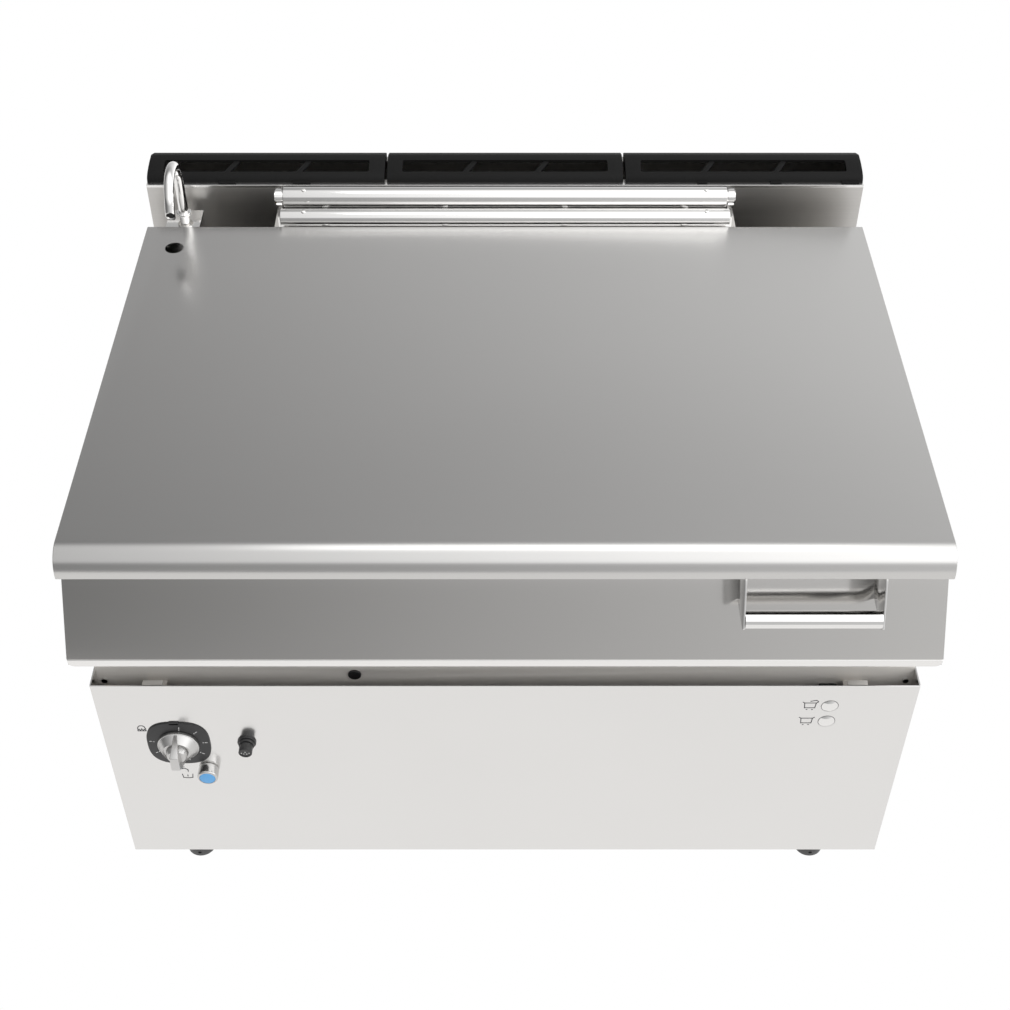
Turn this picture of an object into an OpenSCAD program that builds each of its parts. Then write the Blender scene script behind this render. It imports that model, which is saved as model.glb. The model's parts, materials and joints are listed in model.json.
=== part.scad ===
// Tilting bratt pan with a gas heated vessel, a hinged lid and a rear flue.
// Y is 0 at the outer face of the base front panel while the pieces are drawn,
// and Z is 0 at the floor. The whole model is then moved to its footprint's centre.

/* [Overall] */
// Width of the base, pan and flue
body_w = 1200; // [1000:10:1400]
// Depth of the base from its front panel to its rear panel
body_d = 900; // [800:1:1000]
// Height of the lid's flat top above the floor
work_h = 850; // [750:1:950]
// Clear height under the base
leg_h = 139; // [110:1:160]
// Height of the lid's flat top above the base panel's top
pan_h = 300; // [295:1:330]
// Sheet thickness of panels and casings
sheet = 2; // [1.5:0.5:3]

/* [Lid] */
// How far the lid's ends stand inside the base's sides
lid_side = 10; // [5:1:30]
// Distance from the lid's rear edge back to the flue's flange
lid_gap = 76; // [74:1:90]
// How far the lid's front edge stands in front of the front panel
lid_over = 37; // [30:1:45]
// Radius of the lid's rounded front edge
lid_r = 34; // [20:1:38]
// Depth of the lid's rim
lid_rim = 39.5; // [38:0.5:44]
// Radius of the fill hole in the lid
fill_hole_r = 15; // [13:0.5:20]
// Distance of the fill hole and the spout from the base's side
fill_in = 64; // [55:1:150]
// Distance of the fill hole's centre from the lid's rear edge
fill_back = 64; // [55:1:75]

/* [Handle] */
// Distance of the handle's centre from the base's side
handle_in = 191; // [150:1:400]
// Length of the handle's bar
handle_w = 188; // [140:1:260]
// How far the handle hangs below the lid's rim
handle_drop = 69; // [50:1:72]
// How far the handle's bar stands in front of the lid's front edge
handle_out = 31; // [20:1:40]
// Depth and height of the handle's bar
bar_size = 24; // [18:1:30]
// Thickness of the handle's gussets
gusset_t = 3; // [2:0.5:5]

/* [Pan] */
// Distance from the front panel's face back to the apron's upper edge
apron_top_y = 32; // [28:1:40]
// How far the apron's lower edge stands in front of the front panel
apron_out = 51; // [48:1:56]
// Height of the apron's vertical hem
hem_h = 14; // [8:1:20]
// Gap between the base panel's top and the apron's lower edge
apron_gap = 102; // [96:1:120]
// Distance from the base's side to the vessel's side wall
vessel_side = 50; // [40:5:100]
// Distance from the front panel's face to the vessel's front wall
vessel_front = 62; // [50:1:70]
// Distance from the lid's rear edge forward to the vessel's rear wall
vessel_gap = 36; // [33:1:100]
// Clear depth of the vessel under its rim
vessel_depth = 182; // [120:1:184]
// Wall thickness of the vessel
vessel_t = 3; // [2:0.5:4]
// Thickness of the heat spreading plate under the vessel
spreader_t = 12; // [8:1:14]

/* [Tilting] */
// Distance of the tilt axis behind the front panel's face
tilt_y = 67; // [66:1:72]
// Height of the tilt axis above the base panel's top
tilt_up = 25; // [24:1:30]
// Radius of the trunnions
trunnion_r = 15; // [12:0.5:16]
// Radial clearance of shafts in their bearings
run_gap = 0.05; // [0.01:0.01:0.1]
// Distance of the bearing blocks from the base's sides
bearing_in = 90; // [85:1:150]
// Width of the bearing blocks
bearing_w = 28; // [20:1:32]

/* [Hinge] */
// Distance of the lid's hinge axis behind the lid's rear edge
hinge_back = 49; // [46:1:52]
// Height of the lid's hinge axis above the lid's top
hinge_up = 25; // [24:1:28]
// Radius of the hinge shaft
hinge_r = 11; // [8:0.5:12]
// Outer radius of the hinge sleeve
sleeve_r = 17; // [14:0.5:17.5]
// Distance of the hinge sleeve's ends from the base's sides
sleeve_in = 232; // [180:1:350]
// Radius of the tube along the lid's rear edge
rear_tube_r = 15; // [12:0.5:16]
// Radius of the fill spout's pipe
spout_r = 8; // [6:0.5:9]

/* [Flue] */
// Depth of the flue at its flange
flue_d = 91; // [85:1:110]
// Height of the flue's flange above the lid's top
flue_up = 30; // [24:1:40]
// Height of the flue grilles
grille_h = 19; // [14:1:26]
// Wall thickness of the flue grilles
grille_t = 5; // [4:0.5:7]
// Gap between neighbouring grilles
grille_gap = 4; // [2:0.5:8]
// Width of the diagonal bars across a grille's slot
grille_bar = 9; // [6:0.5:14]

/* [Controls] */
// Distance of the gas knob from the base's side
knob_in = 111; // [100:1:300]
// Distance of the gas knob below the panel's top
knob_down = 131; // [120:1:200]
// Radius of the knob's bezel
bezel_r = 48; // [42:1:60]
// Radius of the knob's skirt
knob_r = 31; // [24:1:36]
// How far the knob stands out of its bezel
knob_out = 42; // [30:1:50]
// Distance of the igniter from the base's side
igniter_in = 213; // [200:1:300]
// Distance of the igniter below the panel's top
igniter_down = 129; // [120:1:200]
// Radius of the igniter's collar
collar_r = 14; // [12:0.5:18]
// Radius of the igniter's button
igniter_r = 10.2; // [8:0.1:11]
// Distance of the water button from the base's side
water_in = 148; // [140:1:300]
// Distance of the water button below the panel's top
water_down = 194; // [190:1:300]
// Outer radius of the water button's ring
water_r = 15.5; // [14:0.5:20]
// Radius of the water button's cap
cap_r = 12; // [9:0.5:13]
// Distance of the tilt buttons from the base's side
tilt_button_in = 125; // [80:1:300]
// Distance of the upper tilt button below the panel's top
tilt_button_down = 45; // [30:1:60]
// Distance between the two tilt buttons
tilt_button_pitch = 35; // [30:1:60]
// Radius of the tilt buttons
tilt_button_r = 12.5; // [9:0.5:15]
// Travel of the push buttons
press = 3; // [2:0.5:4]

/* [Feet and pipes] */
// Distance of the legs from the base's sides
leg_side = 76; // [60:1:200]
// Distance of the legs from the front and rear panels
leg_inset = 105; // [60:1:140]
// Outer radius of the leg sleeves
leg_r = 24; // [18:0.5:28]
// Height of the feet below the leg sleeves
foot_h = 20; // [14:1:40]
// Radius of the feet's threaded stems
stem_r = 8; // [6:0.5:10]
// Radius of the gas and water inlets, a half inch pipe thread
inlet_r = 10.5; // [8:0.1:14]
// Length of the inlets below the base
inlet_len = 30; // [20:1:50]
// Radius of the burner tubes
burner_r = 20; // [15:1:24]

/* [Hidden] */
$fn = 48;

// Clearance between pieces that rest on each other but can come apart
rest_gap = 0.3;
// Overshoot of cutting shapes past the faces they cut
cut = 1;

half_w = body_w / 2;
lid_w = body_w - 2 * lid_side;
fill_x = half_w - fill_in;
handle_x = half_w - handle_in;
vessel_w = body_w - 2 * vessel_side;
bearing_x = half_w - bearing_in;
sleeve_half = half_w - sleeve_in;
knob_x = half_w - knob_in;
igniter_x = half_w - igniter_in;
water_x = half_w - water_in;
tilt_button_x = half_w - tilt_button_in;
leg_x = half_w - leg_side;
flue_y = body_d - flue_d;
lid_back = flue_y - lid_gap;
vessel_back = lid_back - vessel_gap;
panel_top = work_h - pan_h;
tray_top = leg_h + sheet;
tilt_z = panel_top + tilt_up;
rim_top = work_h - lid_rim - rest_gap;
rim_t = 3;
hem_bottom = panel_top + apron_gap;
apron_low = hem_bottom + hem_h;
casing_back = lid_back - sheet;
vessel_floor = rim_top - rim_t - vessel_depth;
spreader_top = vessel_floor - vessel_t;
spreader_bottom = spreader_top - spreader_t;
hinge_y = lid_back + hinge_back;
hinge_z = work_h + hinge_up;
duct_top = work_h + flue_up;
bar_front = -lid_over - handle_out;
bbox_front = bar_front;
y_mid = (body_d + bbox_front) / 2;

// Frame inside the base: corner posts and beams
post_w = 38;
beam_y0 = 35;
beam_d = 2 * (tilt_y - beam_y0);
beam_h = 30;
beam_top = panel_top - beam_h;
post_x0 = half_w - sheet - post_w;

// Controls, as x and z on the front panel
knob_z = panel_top - knob_down;
igniter_z = panel_top - igniter_down;
water_z = panel_top - water_down;
tilt_up_z = panel_top - tilt_button_down;
tilt_down_z = tilt_up_z - tilt_button_pitch;
knob_shaft_r = 5;
igniter_stem_r = 4;
button_gap = 0.3;
plug_x = -220;
plug_r = 10;
plug_z = panel_top - 12;

// Pan frame
rail_d = 40;
rail_h = spreader_bottom - tilt_z - spout_r - 1;
rail_z = spreader_bottom - rail_h;
rail_y = [200, body_d - 300];
arm_t = 10;
arm_x = bearing_x + bearing_w / 2 + 12;
boss_r = 28;
trunnion_out = half_w - 8;

// Fill spout: it rises inside an arc about the lid's hinge axis
fill_y = lid_back - fill_back;
spout_x = -(fill_x - 2);
arc_r = norm([hinge_y - fill_y, hinge_up]);
arc_start = 180 - atan2(hinge_up, hinge_y - fill_y);
arc_end = 143;
riser_y = hinge_y - 17;
riser_low = work_h - 70;
bend_from = [hinge_y + arc_r * cos(arc_end), hinge_z + arc_r * sin(arc_end)];
bend_r = (riser_y - bend_from[0]) / (1 - cos(arc_end));
bend_c = bend_from - bend_r * [cos(arc_end), sin(arc_end)];
spout_wall = 1.2;

// Extrudes a section drawn in Y and Z along X, centred on the middle plane
module along_x(w) {
    rotate([90, 0, 90]) linear_extrude(w, center = true) children();
}

// Box between two corners
module box(a, b) {
    translate(a) cube(b - a);
}

// Rod along X between two places
module rod_x(x0, x1, y, z, r) {
    translate([x0, y, z]) rotate([0, 90, 0]) cylinder(h = x1 - x0, r = r);
}

// Rod along Y between two places
module rod_y(x, y0, y1, z, r) {
    translate([x, y0, z]) rotate([-90, 0, 0]) cylinder(h = y1 - y0, r = r);
}

// Pipe through a list of points, with an elbow fitting at each corner
module pipe(points, r) {
    for (i = [0 : len(points) - 2]) {
        a = points[i];
        d = points[i + 1] - a;
        turn = atan2(d[1], d[0]);
        lean = acos(d[2] / norm(d));
        translate(a) rotate([0, lean, turn]) cylinder(h = norm(d), r = r);
        if (i > 0)
            translate(a) rotate([45, 35, 0]) sphere(r + 1.5);
    }
}

// Both sides of the middle plane
module both() {
    children();
    mirror([1, 0, 0]) children();
}

// Base

module front_panel() {
    color("gainsboro") difference() {
        union() {
            box([-half_w, 0, leg_h], [half_w, sheet, panel_top]);
            box([-half_w + sheet, sheet, panel_top - sheet], [half_w - sheet, 14, panel_top]);
        }
        rod_y(-knob_x, -cut, sheet + cut, knob_z, knob_shaft_r + 2);
        rod_y(-igniter_x, -cut, sheet + cut, igniter_z, igniter_stem_r + 2);
        rod_y(-water_x, -cut, sheet + cut, water_z, igniter_stem_r + 2);
        for (z = [tilt_up_z, tilt_down_z])
            rod_y(tilt_button_x, -cut, sheet + cut, z, tilt_button_r + button_gap);
    }
}

// The inner front wall, with the two brackets that carry the front panel
module cross_panel() {
    bracket_x = half_w - 104;
    color("lightgray") {
        difference() {
            box(
                [-half_w + sheet, beam_y0 - sheet, beam_top - 20],
                [half_w - sheet, beam_y0, panel_top + 4]
            );
            rod_y(plug_x, beam_y0 - sheet - cut, beam_y0 + cut, plug_z, plug_r - 2);
        }
        both() box(
            [bracket_x, sheet, panel_top - 28],
            [bracket_x + 29, beam_y0 - sheet, panel_top - sheet]
        );
    }
}

module cable_plug() {
    color("black") {
        rod_y(plug_x, beam_y0 - sheet - 3, beam_y0 - sheet, plug_z, plug_r);
        rod_y(plug_x, beam_y0 - sheet, beam_y0 + 4, plug_z, plug_r - 2);
    }
}

module side_panel() {
    color("lightgray") union() {
        box([half_w - sheet, sheet, leg_h], [half_w, body_d - sheet, panel_top]);
        box(
            [half_w - 14, beam_y0 + beam_d, panel_top - sheet],
            [half_w - sheet, body_d - beam_d, panel_top]
        );
    }
}

module side_panel_left() {
    mirror([1, 0, 0]) side_panel();
}

module side_panel_right() {
    side_panel();
}

module rear_panel() {
    color("lightgray")
        box([-half_w, body_d - sheet, leg_h], [half_w, body_d, panel_top]);
}

inlet_y = body_d - 50;
gas_x = half_w - 150;
gland_x = half_w / 2;
gland_r = 12;

module bottom_tray() {
    color("darkgray") difference() {
        box([-half_w + sheet, sheet, leg_h], [half_w - sheet, body_d - sheet, tray_top]);
        for (x = [-gas_x, gas_x])
            translate([x, inlet_y, leg_h - cut]) cylinder(h = sheet + 2 * cut, r = inlet_r);
        translate([gland_x, inlet_y, leg_h - cut]) cylinder(h = sheet + 2 * cut, r = gland_r);
        for (x = [-leg_x, leg_x], y = [leg_inset, body_d - leg_inset])
            translate([x, y, leg_h - cut]) cylinder(h = sheet + 2 * cut, r = stem_r + 4);
    }
}

frame_back = body_d - sheet - beam_d;

module base_frame() {
    color("gray") both() {
        for (y = [beam_y0, frame_back])
            box([post_x0, y, tray_top], [half_w - sheet, y + beam_d, panel_top - sheet]);
        box(
            [post_x0, beam_y0 + beam_d, beam_top - beam_h],
            [half_w - sheet - 14, frame_back, beam_top]
        );
        for (y = [beam_y0, frame_back])
            box([0, y, beam_top - beam_h], [post_x0, y + beam_d, beam_top]);
    }
}

module leg_sleeves() {
    color("silver")
        for (x = [-leg_x, leg_x], y = [leg_inset, body_d - leg_inset])
            translate([x, y, foot_h]) difference() {
                union() {
                    cylinder(h = leg_h - foot_h, r = leg_r);
                    translate([0, 0, leg_h - foot_h - 4]) cylinder(h = 4, r = leg_r + 8);
                }
                translate([0, 0, -cut]) cylinder(h = leg_h - foot_h + 2 * cut, r = stem_r + run_gap);
            }
}

module foot(x, y) {
    color("dimgray") translate([x, y, 0]) union() {
        cylinder(h = 4, r1 = leg_r - 2, r2 = leg_r);
        translate([0, 0, 4]) cylinder(h = foot_h - 4 - rest_gap, r = leg_r);
        cylinder(h = leg_h - 4, r = stem_r);
    }
}

module foot_front_left() {
    foot(-leg_x, leg_inset);
}

module foot_front_right() {
    foot(leg_x, leg_inset);
}

module foot_rear_left() {
    foot(-leg_x, body_d - leg_inset);
}

module foot_rear_right() {
    foot(leg_x, body_d - leg_inset);
}

// Tilt bearings and drive

module bearing_blocks() {
    housing = boss_r;
    bore_half = bearing_w / 2 + cut;
    color("lightgray") both() difference() {
        union() {
            box(
                [bearing_x - bearing_w / 2, tilt_y - housing, beam_top],
                [bearing_x + bearing_w / 2, tilt_y + housing, tilt_z]
            );
            rod_x(bearing_x - bearing_w / 2, bearing_x + bearing_w / 2, tilt_y, tilt_z, housing);
        }
        rod_x(bearing_x - bore_half, bearing_x + bore_half, tilt_y, tilt_z, trunnion_r + run_gap);
    }
}

gear_x1 = bearing_x - bearing_w / 2 - 22;
gear_x0 = gear_x1 - 74;
motor_r = 30;

module tilt_gearmotor() {
    color("slategray") difference() {
        union() {
            box([gear_x0, beam_y0 + 2, beam_top], [gear_x1, beam_y0 + beam_d - 1, tilt_z]);
            rod_x(gear_x0, gear_x1, tilt_y, tilt_z, 30);
            rod_x(gear_x0 - 170, gear_x0, tilt_y, beam_top + motor_r, motor_r);
            rod_x(gear_x0 - 176, gear_x0 - 170, tilt_y, beam_top + motor_r, motor_r - 6);
            box([gear_x0 - 120, tilt_y - 20, beam_top], [gear_x0 - 50, tilt_y + 20, beam_top + 10]);
        }
        rod_x(gear_x0 + 4, gear_x1 + cut, tilt_y, tilt_z, trunnion_r + run_gap);
    }
}

// Water connection of the hollow left trunnion
union_x = -half_w + sheet;

module rotary_union() {
    color("goldenrod") difference() {
        union() {
            rod_x(union_x, union_x + 24, tilt_y, tilt_z, trunnion_r + 6);
            box(
                [union_x, tilt_y - 12, panel_top - sheet],
                [union_x + 24, tilt_y + 12, tilt_z - trunnion_r - 1]
            );
        }
        rod_x(union_x + 4, union_x + 24 + cut, tilt_y, tilt_z, trunnion_r + run_gap);
    }
}

water_pipe_r = 5;
water_line_y = beam_y0 + beam_d + 11;
// The pipe drops between the pan's arm and the frame's side rail
water_drop_x = -(arm_x + arm_t + post_x0) / 2;

// Inlet below the base, with a shoulder against its underside
module inlet(x) {
    translate([x, inlet_y, leg_h - inlet_len]) {
        cylinder(h = inlet_len, r = inlet_r);
        translate([0, 0, inlet_len - 2]) cylinder(h = 2, r = inlet_r + 4);
        cylinder(h = inlet_len + 20, r = inlet_r - 1);
    }
}

module water_pipe() {
    color("goldenrod") union() {
        pipe([
            [union_x + 12, tilt_y + trunnion_r + 6, tilt_z],
            [union_x + 12, water_line_y, tilt_z],
            [water_drop_x, water_line_y, tilt_z],
            [water_drop_x, water_line_y, water_z],
            [-gas_x, water_line_y, water_z],
            [-gas_x, inlet_y, water_z],
            [-gas_x, inlet_y, tray_top]
        ], water_pipe_r);
        inlet(-gas_x);
    }
}

// Flue

duct_open_x = half_w - 15;

module flue_duct() {
    color("lightgray") difference() {
        box([-half_w, flue_y, panel_top], [half_w, body_d, duct_top]);
        box(
            [-half_w + sheet, flue_y + sheet, panel_top - cut],
            [half_w - sheet, body_d - sheet, duct_top - 3]
        );
        box(
            [-duct_open_x, flue_y + 18, duct_top - 3 - cut],
            [duct_open_x, body_d - 15, duct_top + cut]
        );
        box(
            [-vessel_w / 2 + 40, flue_y - cut, panel_top + 15],
            [vessel_w / 2 - 40, flue_y + sheet + cut, panel_top + 75]
        );
    }
}

grille_front = flue_y + 8;
grille_back = body_d - 2;
slot_y0 = flue_y + 22;
slot_y1 = flue_y + 50;
grille_len = body_w / 3;
slot_margin = 26;

// Section of a grille: a slope rising to a ridge, drawn t inside its outer face
module grille_section(t) {
    ridge = flue_y + 64;
    polygon([
        [grille_front + t, duct_top - (t > 0 ? cut : 0)],
        [grille_front + 3 + t, duct_top + 7 - t],
        [grille_front + 14 + t / 2, duct_top + grille_h - 6 - t],
        [grille_front + 34, duct_top + grille_h - 1.7 - t],
        [ridge, duct_top + grille_h - t],
        [ridge + 4, duct_top + grille_h - 0.8 - t],
        [grille_back - t, duct_top + grille_h - 10 - t],
        [grille_back - t, duct_top - (t > 0 ? cut : 0)]
    ]);
}

module flue_grille(place) {
    len = grille_len - grille_gap / 2 * (place == 0 ? 2 : 1);
    shift = place * (grille_len / 2 + len / 2 + grille_gap / 2);
    slot = grille_len - 2 * slot_margin - 3;
    color([0.14, 0.14, 0.14]) translate([shift, 0, 0]) union() {
        difference() {
            along_x(len) grille_section(0);
            along_x(len - 2 * grille_t) grille_section(grille_t);
            box([-slot / 2, slot_y0, duct_top - cut], [slot / 2, slot_y1, duct_top + grille_h + cut]);
        }
        for (k = [-0.5, 0.5])
            translate([k * slot * 0.35, (slot_y0 + slot_y1) / 2, duct_top + grille_h - 8.5])
                rotate([11, 0, 0]) rotate([0, 0, -31])
                    cube([grille_bar, 38, 5], center = true);
    }
}

module flue_grille_left() {
    flue_grille(-1);
}

module flue_grille_centre() {
    flue_grille(0);
}

module flue_grille_right() {
    flue_grille(1);
}

// Gas heating

burner_x = [for (k = [-3:2:3]) k * (half_w - 160) / 4];
burner_z = panel_top - 24;
burner_y0 = 150;
burner_y1 = body_d - 260;
tray_z = burner_z - burner_r - 20;
tray_x = half_w - 150;
manifold_y = burner_y0 - 26;

module burner_tray() {
    color("darkgray") difference() {
        box([-tray_x, beam_y0 + beam_d, tray_z], [tray_x, burner_y1 + 40, tray_z + 50]);
        box(
            [-tray_x + sheet, beam_y0 + beam_d + sheet, tray_z + sheet],
            [tray_x - sheet, burner_y1 + 40 - sheet, tray_z + 50 + cut]
        );
        rod_x(-tray_x - cut, -tray_x + sheet + cut, manifold_y, burner_z, 11);
    }
    color("darkgray") both()
        box(
            [tray_x, beam_y0 + beam_d + 40, beam_top - beam_h],
            [post_x0, beam_y0 + beam_d + 70, beam_top - beam_h + 6]
        );
    color("darkgray") both()
        box([tray_x - 60, beam_y0 + beam_d, tray_z - 10], [tray_x, beam_y0 + beam_d + 30, tray_z]);
}

module burners() {
    color("silver") for (x = burner_x) difference() {
        union() {
            rod_y(x, burner_y0, burner_y1, burner_z, burner_r);
            box([x - 10, burner_y0 + 60, tray_z + sheet], [x + 10, burner_y0 + 64, burner_z]);
            box([x - 10, burner_y1 - 64, tray_z + sheet], [x + 10, burner_y1 - 60, burner_z]);
        }
        rod_y(x, burner_y0 - cut, burner_y1 - 4, burner_z, burner_r - 2);
    }
}

gas_pipe_r = 8;
valve_w = 44;

module gas_manifold() {
    color("goldenrod") union() {
        rod_x(-tray_x - 50, burner_x[3], manifold_y, burner_z, gas_pipe_r);
        for (x = burner_x)
            rod_y(x, manifold_y, burner_y0 + 12, burner_z, 5);
        pipe([
            [-tray_x - 50, manifold_y, burner_z],
            [-tray_x - 50, manifold_y, knob_z + 40],
            [-knob_x, beam_y0 + 20, knob_z + 40],
            [-knob_x, beam_y0 + 20, knob_z + valve_w / 2]
        ], gas_pipe_r);
        pipe([
            [-knob_x, beam_y0 + 20, knob_z - valve_w / 2],
            [-knob_x, beam_y0 + 20, leg_h + 60],
            [-knob_x, inlet_y - 80, leg_h + 60],
            [gas_x, inlet_y - 80, leg_h + 60],
            [gas_x, inlet_y, leg_h + 60],
            [gas_x, inlet_y, tray_top]
        ], gas_pipe_r);
        inlet(gas_x);
    }
}

valve_depth = 50;
valve_y = 14;

module gas_valve() {
    color("goldenrod") difference() {
        union() {
            box(
                [-knob_x - valve_w / 2, valve_y, knob_z - valve_w / 2],
                [-knob_x + valve_w / 2, valve_y + valve_depth, knob_z + valve_w / 2]
            );
            rod_y(-knob_x, sheet, valve_y, knob_z, knob_shaft_r + 6);
        }
        rod_y(-knob_x, sheet - cut, valve_y + 30, knob_z, knob_shaft_r + run_gap);
    }
}

module knob_bezel() {
    flat_x = bezel_r - 1;
    color([0.2, 0.2, 0.2]) difference() {
        intersection() {
            rod_y(-knob_x, -2.5, 0, knob_z, bezel_r);
            box([-knob_x - flat_x, -3, knob_z - bezel_r], [-knob_x + flat_x, cut, knob_z + bezel_r]);
        }
        rod_y(-knob_x, -3, cut, knob_z, knob_shaft_r + 2);
    }
}

// The pointer knob turns with its spindle, which ends inside the gas valve
module gas_knob() {
    skirt_y = -2.5 - rest_gap;
    color("silver") translate([-knob_x, skirt_y, knob_z]) union() {
        rotate([90, 0, 0]) cylinder(h = 6, r1 = knob_r, r2 = knob_r);
        translate([0, -6, 0]) rotate([90, 0, 0])
            cylinder(h = knob_out - 22, r1 = knob_r, r2 = knob_r * 0.62);
        along_x(12) polygon([
            [-4, knob_r * 0.95],
            [-10, knob_r * 0.95],
            [-knob_out - skirt_y, knob_r * 0.48],
            [-knob_out - skirt_y, -knob_r * 0.45],
            [-10, -knob_r * 0.95],
            [-4, -knob_r * 0.95]
        ]);
        rotate([-90, 0, 0]) cylinder(h = valve_y + 28 - skirt_y, r = knob_shaft_r);
    }
}

igniter_out = 22;

module igniter_collar() {
    color([0.12, 0.12, 0.12]) difference() {
        union() {
            rod_y(-igniter_x, -3, 0, igniter_z, collar_r);
            rod_y(-igniter_x, -8, 0, igniter_z, igniter_r + 1.5);
            rod_y(-igniter_x, 0, 30, igniter_z, igniter_stem_r + 2);
        }
        rod_y(-igniter_x, -8 - cut, -3, igniter_z, igniter_r + button_gap);
        rod_y(-igniter_x, -3 - cut, 30 - 4, igniter_z, igniter_stem_r + run_gap);
    }
}

module igniter_button() {
    color([0.1, 0.1, 0.1]) union() {
        rod_y(-igniter_x, -igniter_out, -3 - press, igniter_z, igniter_r);
        rod_y(-igniter_x, -3 - press, 26 - press - rest_gap, igniter_z, igniter_stem_r);
    }
}

module igniter_electrode() {
    color("white") union() {
        rod_y(burner_x[0] + 30, burner_y0 + 30, burner_y0 + 90, burner_z, 5);
        rod_y(burner_x[0] + 30, burner_y0 + 10, burner_y0 + 30, burner_z, 1.5);
    }
    color("silver")
        box(
            [burner_x[0] + burner_r, burner_y0 + 50, burner_z - 2],
            [burner_x[0] + 26, burner_y0 + 54, burner_z + 2]
        );
}

water_out = 19.5;

module water_ring() {
    color("silver") difference() {
        union() {
            rod_y(-water_x, -water_out, 0, water_z, water_r);
            rod_y(-water_x, 0, valve_y, water_z, igniter_stem_r + 2);
        }
        rod_y(-water_x, -water_out - cut, -water_out + 6, water_z, cap_r + button_gap);
        rod_y(-water_x, -water_out + 6 - cut, valve_y + cut, water_z, igniter_stem_r + run_gap);
    }
}

module water_cap() {
    color([0.35, 0.67, 0.88]) union() {
        rod_y(-water_x, -water_out, -water_out + 6 - press, water_z, cap_r);
        rod_y(-water_x, -water_out + 6 - press, valve_y + 10, water_z, igniter_stem_r);
    }
}

module water_valve() {
    side = 36;
    color("goldenrod") difference() {
        box(
            [-water_x - side / 2, valve_y, water_z - side / 2],
            [-water_x + side / 2, water_line_y - water_pipe_r, water_z + side / 2]
        );
        rod_y(-water_x, valve_y - cut, valve_y + 10 + press + 4, water_z, igniter_stem_r + run_gap);
        translate([-gas_x, water_line_y, water_z]) sphere(water_pipe_r + 1.6);
    }
}

button_dome = 3.5;
switch_y = 12;

module tilt_button(z) {
    dome_r = (tilt_button_r * tilt_button_r + button_dome * button_dome) / (2 * button_dome);
    color("silver") union() {
        intersection() {
            translate([tilt_button_x, dome_r - button_dome, z]) sphere(dome_r, $fn = 96);
            rod_y(tilt_button_x, -button_dome - cut, sheet + press, z, tilt_button_r);
        }
        rod_y(tilt_button_x, sheet + press, switch_y + 6, z, igniter_stem_r);
    }
}

module tilt_button_up() {
    tilt_button(tilt_up_z);
}

module tilt_button_down() {
    tilt_button(tilt_down_z);
}

// Switches behind the two tilt buttons, held by a bracket on the front panel
module tilt_switches() {
    side = 26;
    color("dimgray") for (z = [tilt_up_z, tilt_down_z]) difference() {
        box(
            [tilt_button_x - side / 2, switch_y, z - side / 2],
            [tilt_button_x + side / 2, switch_y + 20, z + side / 2]
        );
        rod_y(tilt_button_x, switch_y - cut, switch_y + 6 + press + 1, z, igniter_stem_r + run_gap);
    }
    color("lightgray") for (s = [-1, 1])
        translate([tilt_button_x + s * (side / 2 + 1.5), 0, 0])
            box([-1.5, sheet, tilt_down_z - side / 2], [1.5, switch_y + 16, tilt_up_z + side / 2]);
}

module terminal_box() {
    color("lightgray") difference() {
        box([gland_x - 60, inlet_y - 40, tray_top], [gland_x + 60, body_d - sheet, tray_top + 90]);
        box(
            [gland_x - 57, inlet_y - 37, tray_top + 3],
            [gland_x + 57, body_d - sheet - 3, tray_top + 87]
        );
        translate([gland_x, inlet_y, tray_top - cut]) cylinder(h = 5, r = gland_r);
    }
    color([0.15, 0.15, 0.15]) translate([gland_x, inlet_y, leg_h - 22]) difference() {
        cylinder(h = 22 + sheet + 4, r = gland_r);
        translate([0, 0, -cut]) cylinder(h = 30 + sheet, r = 7);
    }
}

module panel_screws() {
    screw_r = 4.5;
    color("silver") both()
        rod_y(half_w - 12, beam_y0 - sheet - 2.5, beam_y0 - sheet, panel_top - 25, screw_r);
}

// Pan

vessel_x = vessel_w / 2;
vessel_slope = 30;

module vessel_section(t, top) {
    polygon([
        [vessel_front - t, top],
        [vessel_front - t + vessel_slope, vessel_floor - t],
        [vessel_back + t, vessel_floor - t],
        [vessel_back + t, top]
    ]);
}

module pan_vessel() {
    color("silver") difference() {
        along_x(vessel_w + 2 * vessel_t) vessel_section(vessel_t, rim_top - rim_t);
        along_x(vessel_w) vessel_section(0, rim_top);
    }
}

module heat_spreader() {
    color("dimgray")
        box(
            [-vessel_x, vessel_front + vessel_slope, spreader_bottom],
            [vessel_x, vessel_back, spreader_top]
        );
}

module pan_rim() {
    color("silver") difference() {
        box([-half_w, apron_top_y, rim_top - rim_t], [half_w, lid_back - sheet, rim_top]);
        box([-vessel_x, vessel_front, rim_top - rim_t - cut], [vessel_x, vessel_back, rim_top + cut]);
    }
}

// The apron leans forward as it goes down and ends in a vertical hem with a folded lip
module pan_apron() {
    under = rim_top - rim_t;
    lean = sheet * 1.16;
    color("silver") along_x(body_w) polygon([
        [apron_top_y, under],
        [-apron_out, apron_low],
        [-apron_out, hem_bottom],
        [-apron_out + 20, hem_bottom],
        [-apron_out + 20, hem_bottom + sheet],
        [-apron_out + sheet, hem_bottom + sheet],
        [-apron_out + sheet, apron_low - 0.5],
        [apron_top_y + lean, under]
    ]);
}

module casing_side() {
    under = rim_top - rim_t;
    along_x(sheet) polygon([
        [apron_top_y + sheet * 1.16, under],
        [-apron_out + sheet, apron_low - 0.5],
        [-apron_out + sheet, hem_bottom + sheet],
        [casing_back - sheet, hem_bottom + sheet],
        [casing_back - sheet, under]
    ]);
}

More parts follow.
